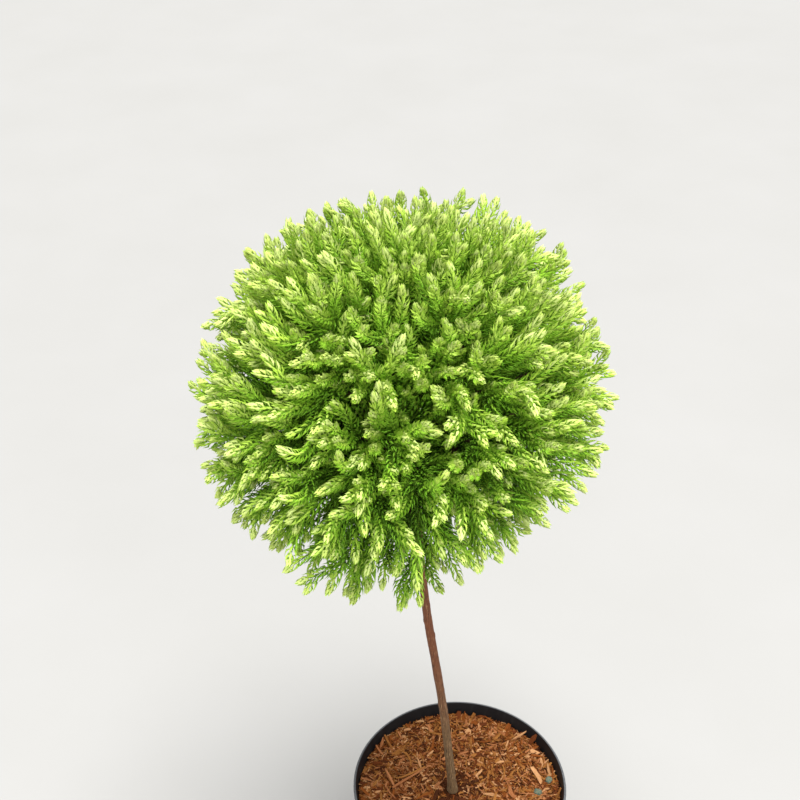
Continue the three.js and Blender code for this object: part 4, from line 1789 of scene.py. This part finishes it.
    def _needles(self, shoot: Shoot, random: np.random.Generator) -> dict[str, np.ndarray]:
        """Where one shoot's needles stand.

        The youngest at the end are short and close, so that the shoot ends in a blunt bud.

        Args:
            shoot: The shoot.
            random: The stream that they vary by.

        Returns:
            Their roots, axes, outward directions, lengths, widths, spreads, bends and ages. The ages carry
            painted shade: older where needles face down or grow low on the crown, younger where they face up.
        """
        line = shoot.line
        gone = np.arange(0, line.length * (1 - shoot.bare), shoot.layer.spacing)
        gone = gone * mix(self.bud_crowding, 1, smooth_step(0, self.crowding_end, gone))
        share = 1 - gone / line.length
        axis = line.heading(share)
        count = len(gone)
        angle = shoot.twist + self.rank_turn * np.arange(count) + random.normal(0, self.rank_spread, count)
        out = spoke_at(*round_frame(axis, line.end - line.start), angle[:, None])
        opening = self.opening + sum(more * smooth_step(low, high, gone) for more, low, high in self.openings)
        spread = np.radians(opening + random.normal(0, self.opening_spread, count))
        incurve = mix(self.bud_incurve, self.incurve, smooth_step(*self.incurve_span, gone))
        length = mix(self.bud_reach, shoot.layer.length, smooth_step(0, self.bud_growth, gone))
        width = shoot.layer.width * mix(self.bud_fullness, 1, smooth_step(0, self.fullness_end, gone))
        # Painted shade in the age: shoots low on the crown darken sooner along their length, and needles that
        # face down are dealt older, darker tints.
        age = gone * shoot.pace + shoot.ageing - out[:, 2] * self.painted_underside_shade
        return {
            "root": line.at(share) + out * self.needle_seat,
            "axis": axis,
            "out": out,
            "length": length * random.normal(1, self.size_spread, count),
            "width": width * random.normal(1, self.size_spread, count),
            "spread": spread,
            "bent": spread * (1 - incurve),
            "age": age + random.normal(0, self.age_spread, count),
        }

    def _blades(self, chosen: dict[str, np.ndarray], keeled: bool) -> Shape:
        """Closed needles, widest in their middle, that bend in towards their shoot.

        Args:
            chosen: Where they stand.
            keeled: Whether they have a keel along their back.

        Returns:
            Their vertices and triangles.
        """
        root, axis, out = chosen["root"], chosen["axis"], chosen["out"]
        names = ("length", "width", "spread", "bent")
        length, width, spread, bent = (chosen[name][:, None] for name in names)
        flank = np.cross(axis, out) * width * 0.5
        keel = spoke_at(out, -axis, spread) * width
        middle = root + length * self.belly * spoke_at(axis, out, spread)
        tip = middle + length * (1 - self.belly) * spoke_at(axis, out, bent)
        if keeled:
            low = middle - keel * self.flank_drop
            rows = [root, low - flank, low + flank, middle + keel * self.keel, tip]
            faces = np.array([[0, 1, 2], [0, 2, 3], [0, 3, 1], [4, 2, 1], [4, 3, 2], [4, 1, 3]])
        else:
            rows = [root, middle - flank, middle + flank, tip]
            faces = np.array([[0, 2, 1], [3, 1, 2], [0, 1, 3], [0, 3, 2]])
        starts = np.arange(len(root))[:, None, None] * len(rows)
        return np.stack(rows, 1).reshape(-1, 3), (faces[None] + starts).reshape(-1, 3)

    def _bud(self, line: Arc) -> Shape:
        """The small closed bud at a shoot's end, which its last needles fold over."""
        path = line.end + line.heading(np.ones(1)) * np.array(self.bud_span)[:, None]
        return tube_arrays(path, np.array(self.bud_radii), 4)

    def _wood(self, shoots: list[Shoot], leaders: list[Leader]) -> dict[str, MeshArrays]:
        """The twigs and the shoots' own cords.

        Args:
            shoots: Every shoot.
            leaders: The main shoots with their twigs.

        Returns:
            Their meshes by name.
        """
        twigs, cords = MeshArrays(), MeshArrays()
        for owner in range(len(self.rule.limbs)):
            shares = np.linspace(*self.limb_span, self.limb_rings)
            path = np.stack([self.rule.leader(owner, share) for share in shares])
            twigs.add(*tube_arrays(path, np.linspace(*self.limb_radii, len(path)), self.limb_sides))
        for leader in leaders:
            outside = leader.line.at(np.linspace(0, self.twig_overlap, 4))[1:]
            path = np.concatenate([leader.inside.at(np.linspace(0, 1, self.twig_rings)), outside])
            twigs.add(*tube_arrays(path, np.linspace(*self.twig_radii, len(path)), self.twig_sides))
        for shoot in shoots:
            path = shoot.line.at(np.linspace(0, 1, 4 if shoot.layer is self.outer else 3))
            cords.add(*tube_arrays(path, np.linspace(*self.shoot_radii, len(path)), self.shoot_sides))
        return {"twigs": twigs, "shoot_cords": cords}

    def build(self) -> None:
        """Grows the crown and dresses it."""
        random = np.random.default_rng(SEED + 31)
        shoots, leaders = self._grow()
        log.info("%d shoots", len(shoots))
        heaps: dict[tuple[Age, str], MeshArrays] = {}
        ages = list(Age)
        for shoot in shoots:
            group = self.groups[shoot.owner]
            needles = self._needles(shoot, random)
            dealt = np.digitize(needles["age"], self.age_limits)
            for place in np.unique(dealt):
                chosen = {name: rows[dealt == place] for name, rows in needles.items()}
                heap = heaps.setdefault((ages[place], group), MeshArrays())
                heap.add(*self._blades(chosen, shoot.layer.keeled))
            if shoot.layer.keeled:
                heaps[(Age.LIME, group)].add(*self._bud(shoot.line))
        masses = [f"foliage_{limb.label}" for limb in self.rule.limbs]
        materials = {age: age.value.make() for age in Age}
        for (age, group), heap in sorted(heaps.items(), key=lambda item: (item[0][1], item[0][0].name)):
            nodes = [mass for mass, grown in zip(masses, self.groups) if grown == group]
            crease = self.young_crease if age in (Age.PALE, Age.LIME, Age.LEAF) else math.pi
            piece = heap.join(f"needles_{age.name.lower()}_{group}", crease)
            settle(piece, materials[age], "foliage", *nodes)
        dull = (paint(71, 63, 34), paint(71, 56, 31), paint(41, 34, 19), paint(94, 78, 46))
        bark = CedarBark("twig_bark", *dull)
        green = NeedleSkin("shoot_skin", paint(76, 108, 26), paint(94, 124, 36))
        finishes = {"twigs": (bark, "bark"), "shoot_cords": (green, "foliage")}
        for name, heap in self._wood(shoots, leaders).items():
            finish, slot = finishes[name]
            settle(heap.join(name), finish.make(), slot, *masses)


@dataclass
class Studio:
    """The floor, the light and the camera. Lengths are in metres."""

    floor_size: float = 14
    floor_drop: float = 0.0002
    camera_place: Triple = (-0.0787, -1.150, 1.660)
    camera_pitch: float = math.radians(35.77)
    lens: float = 60.75
    sensor: float = 36
    sky: Colour = (0.98, 0.99, 1.0, 1)
    sky_strength: float = 1.14
    sun_way: Triple = (0.1, -0.06, 1.0)
    sun_angle: float = math.radians(36)
    sun_strength: float = 6.3
    key_place: Triple = (0.5, -2.2, 2.3)
    key_aim: Triple = (-0.05, 0, 0.6)
    key_size: float = 1.8
    key_power: float = 54

    def _floor(self) -> None:
        """A pale sheet just under the pot."""
        shape = bmesh.new()
        bmesh.ops.create_grid(shape, x_segments=2, y_segments=2, size=self.floor_size / 2 / MM)
        bmesh.ops.translate(shape, verts=shape.verts, vec=(0, 0, -self.floor_drop / MM))
        floor = close_up("floor", shape)
        floor.data.materials.append(PaperFloor().make())

    def _lamp(self, name: str, kind: str, place: Triple, aim: Triple, **settings: object) -> None:
        """Hangs a lamp.

        Args:
            name: Its name.
            kind: "AREA" for a softbox, "SUN" for wide soft light from far away.
            place: Where it hangs.
            aim: What it faces.
            settings: Its power, its size and the like.
        """
        lamp = bpy.data.lights.new(name, kind)
        for setting, given in settings.items():
            setattr(lamp, setting, given)
        holder = add_object(name, lamp)
        holder.location = place
        holder.rotation_euler = (Vector(aim) - Vector(place)).to_track_quat("-Z", "Y").to_euler()

    def _camera(self) -> None:
        """The camera, where the photograph was taken from."""
        camera = bpy.data.cameras.new("camera")
        camera.lens = self.lens
        camera.sensor_width = self.sensor
        camera.clip_end = 50
        holder = add_object("camera", camera)
        holder.location = self.camera_place
        holder.rotation_euler = (math.pi / 2 - self.camera_pitch, 0, 0)
        bpy.context.scene.camera = holder

    def build(self) -> None:
        """Sets up the studio."""
        self._floor()
        self._camera()
        world = bpy.data.worlds.new("studio")
        world.use_nodes = True
        sky = world.node_tree.nodes["Background"]
        sky.inputs["Color"].default_value = self.sky
        sky.inputs["Strength"].default_value = self.sky_strength
        bpy.context.scene.world = world
        sun = {"angle": self.sun_angle, "energy": self.sun_strength}
        self._lamp("top_light", "SUN", self.sun_way, (0, 0, 0), **sun)
        key = {"shape": "SQUARE", "size": self.key_size, "energy": self.key_power}
        self._lamp("key", "AREA", self.key_place, self.key_aim, **key)
        bpy.context.scene.view_settings.view_transform = "Standard"


def main() -> None:
    """Builds the part's looks in order."""
    logging.basicConfig(level=logging.INFO, format="%(message)s")
    rule = CrownRule()
    pot = NurseryPot()
    mulch = BarkMulch(pot, rule)
    for assembly in (Studio(), pot, mulch, FeedTablets(mulch), CedarWood(rule), Foliage(rule)):
        assembly.build()


if __name__ == "__main__":
    main()
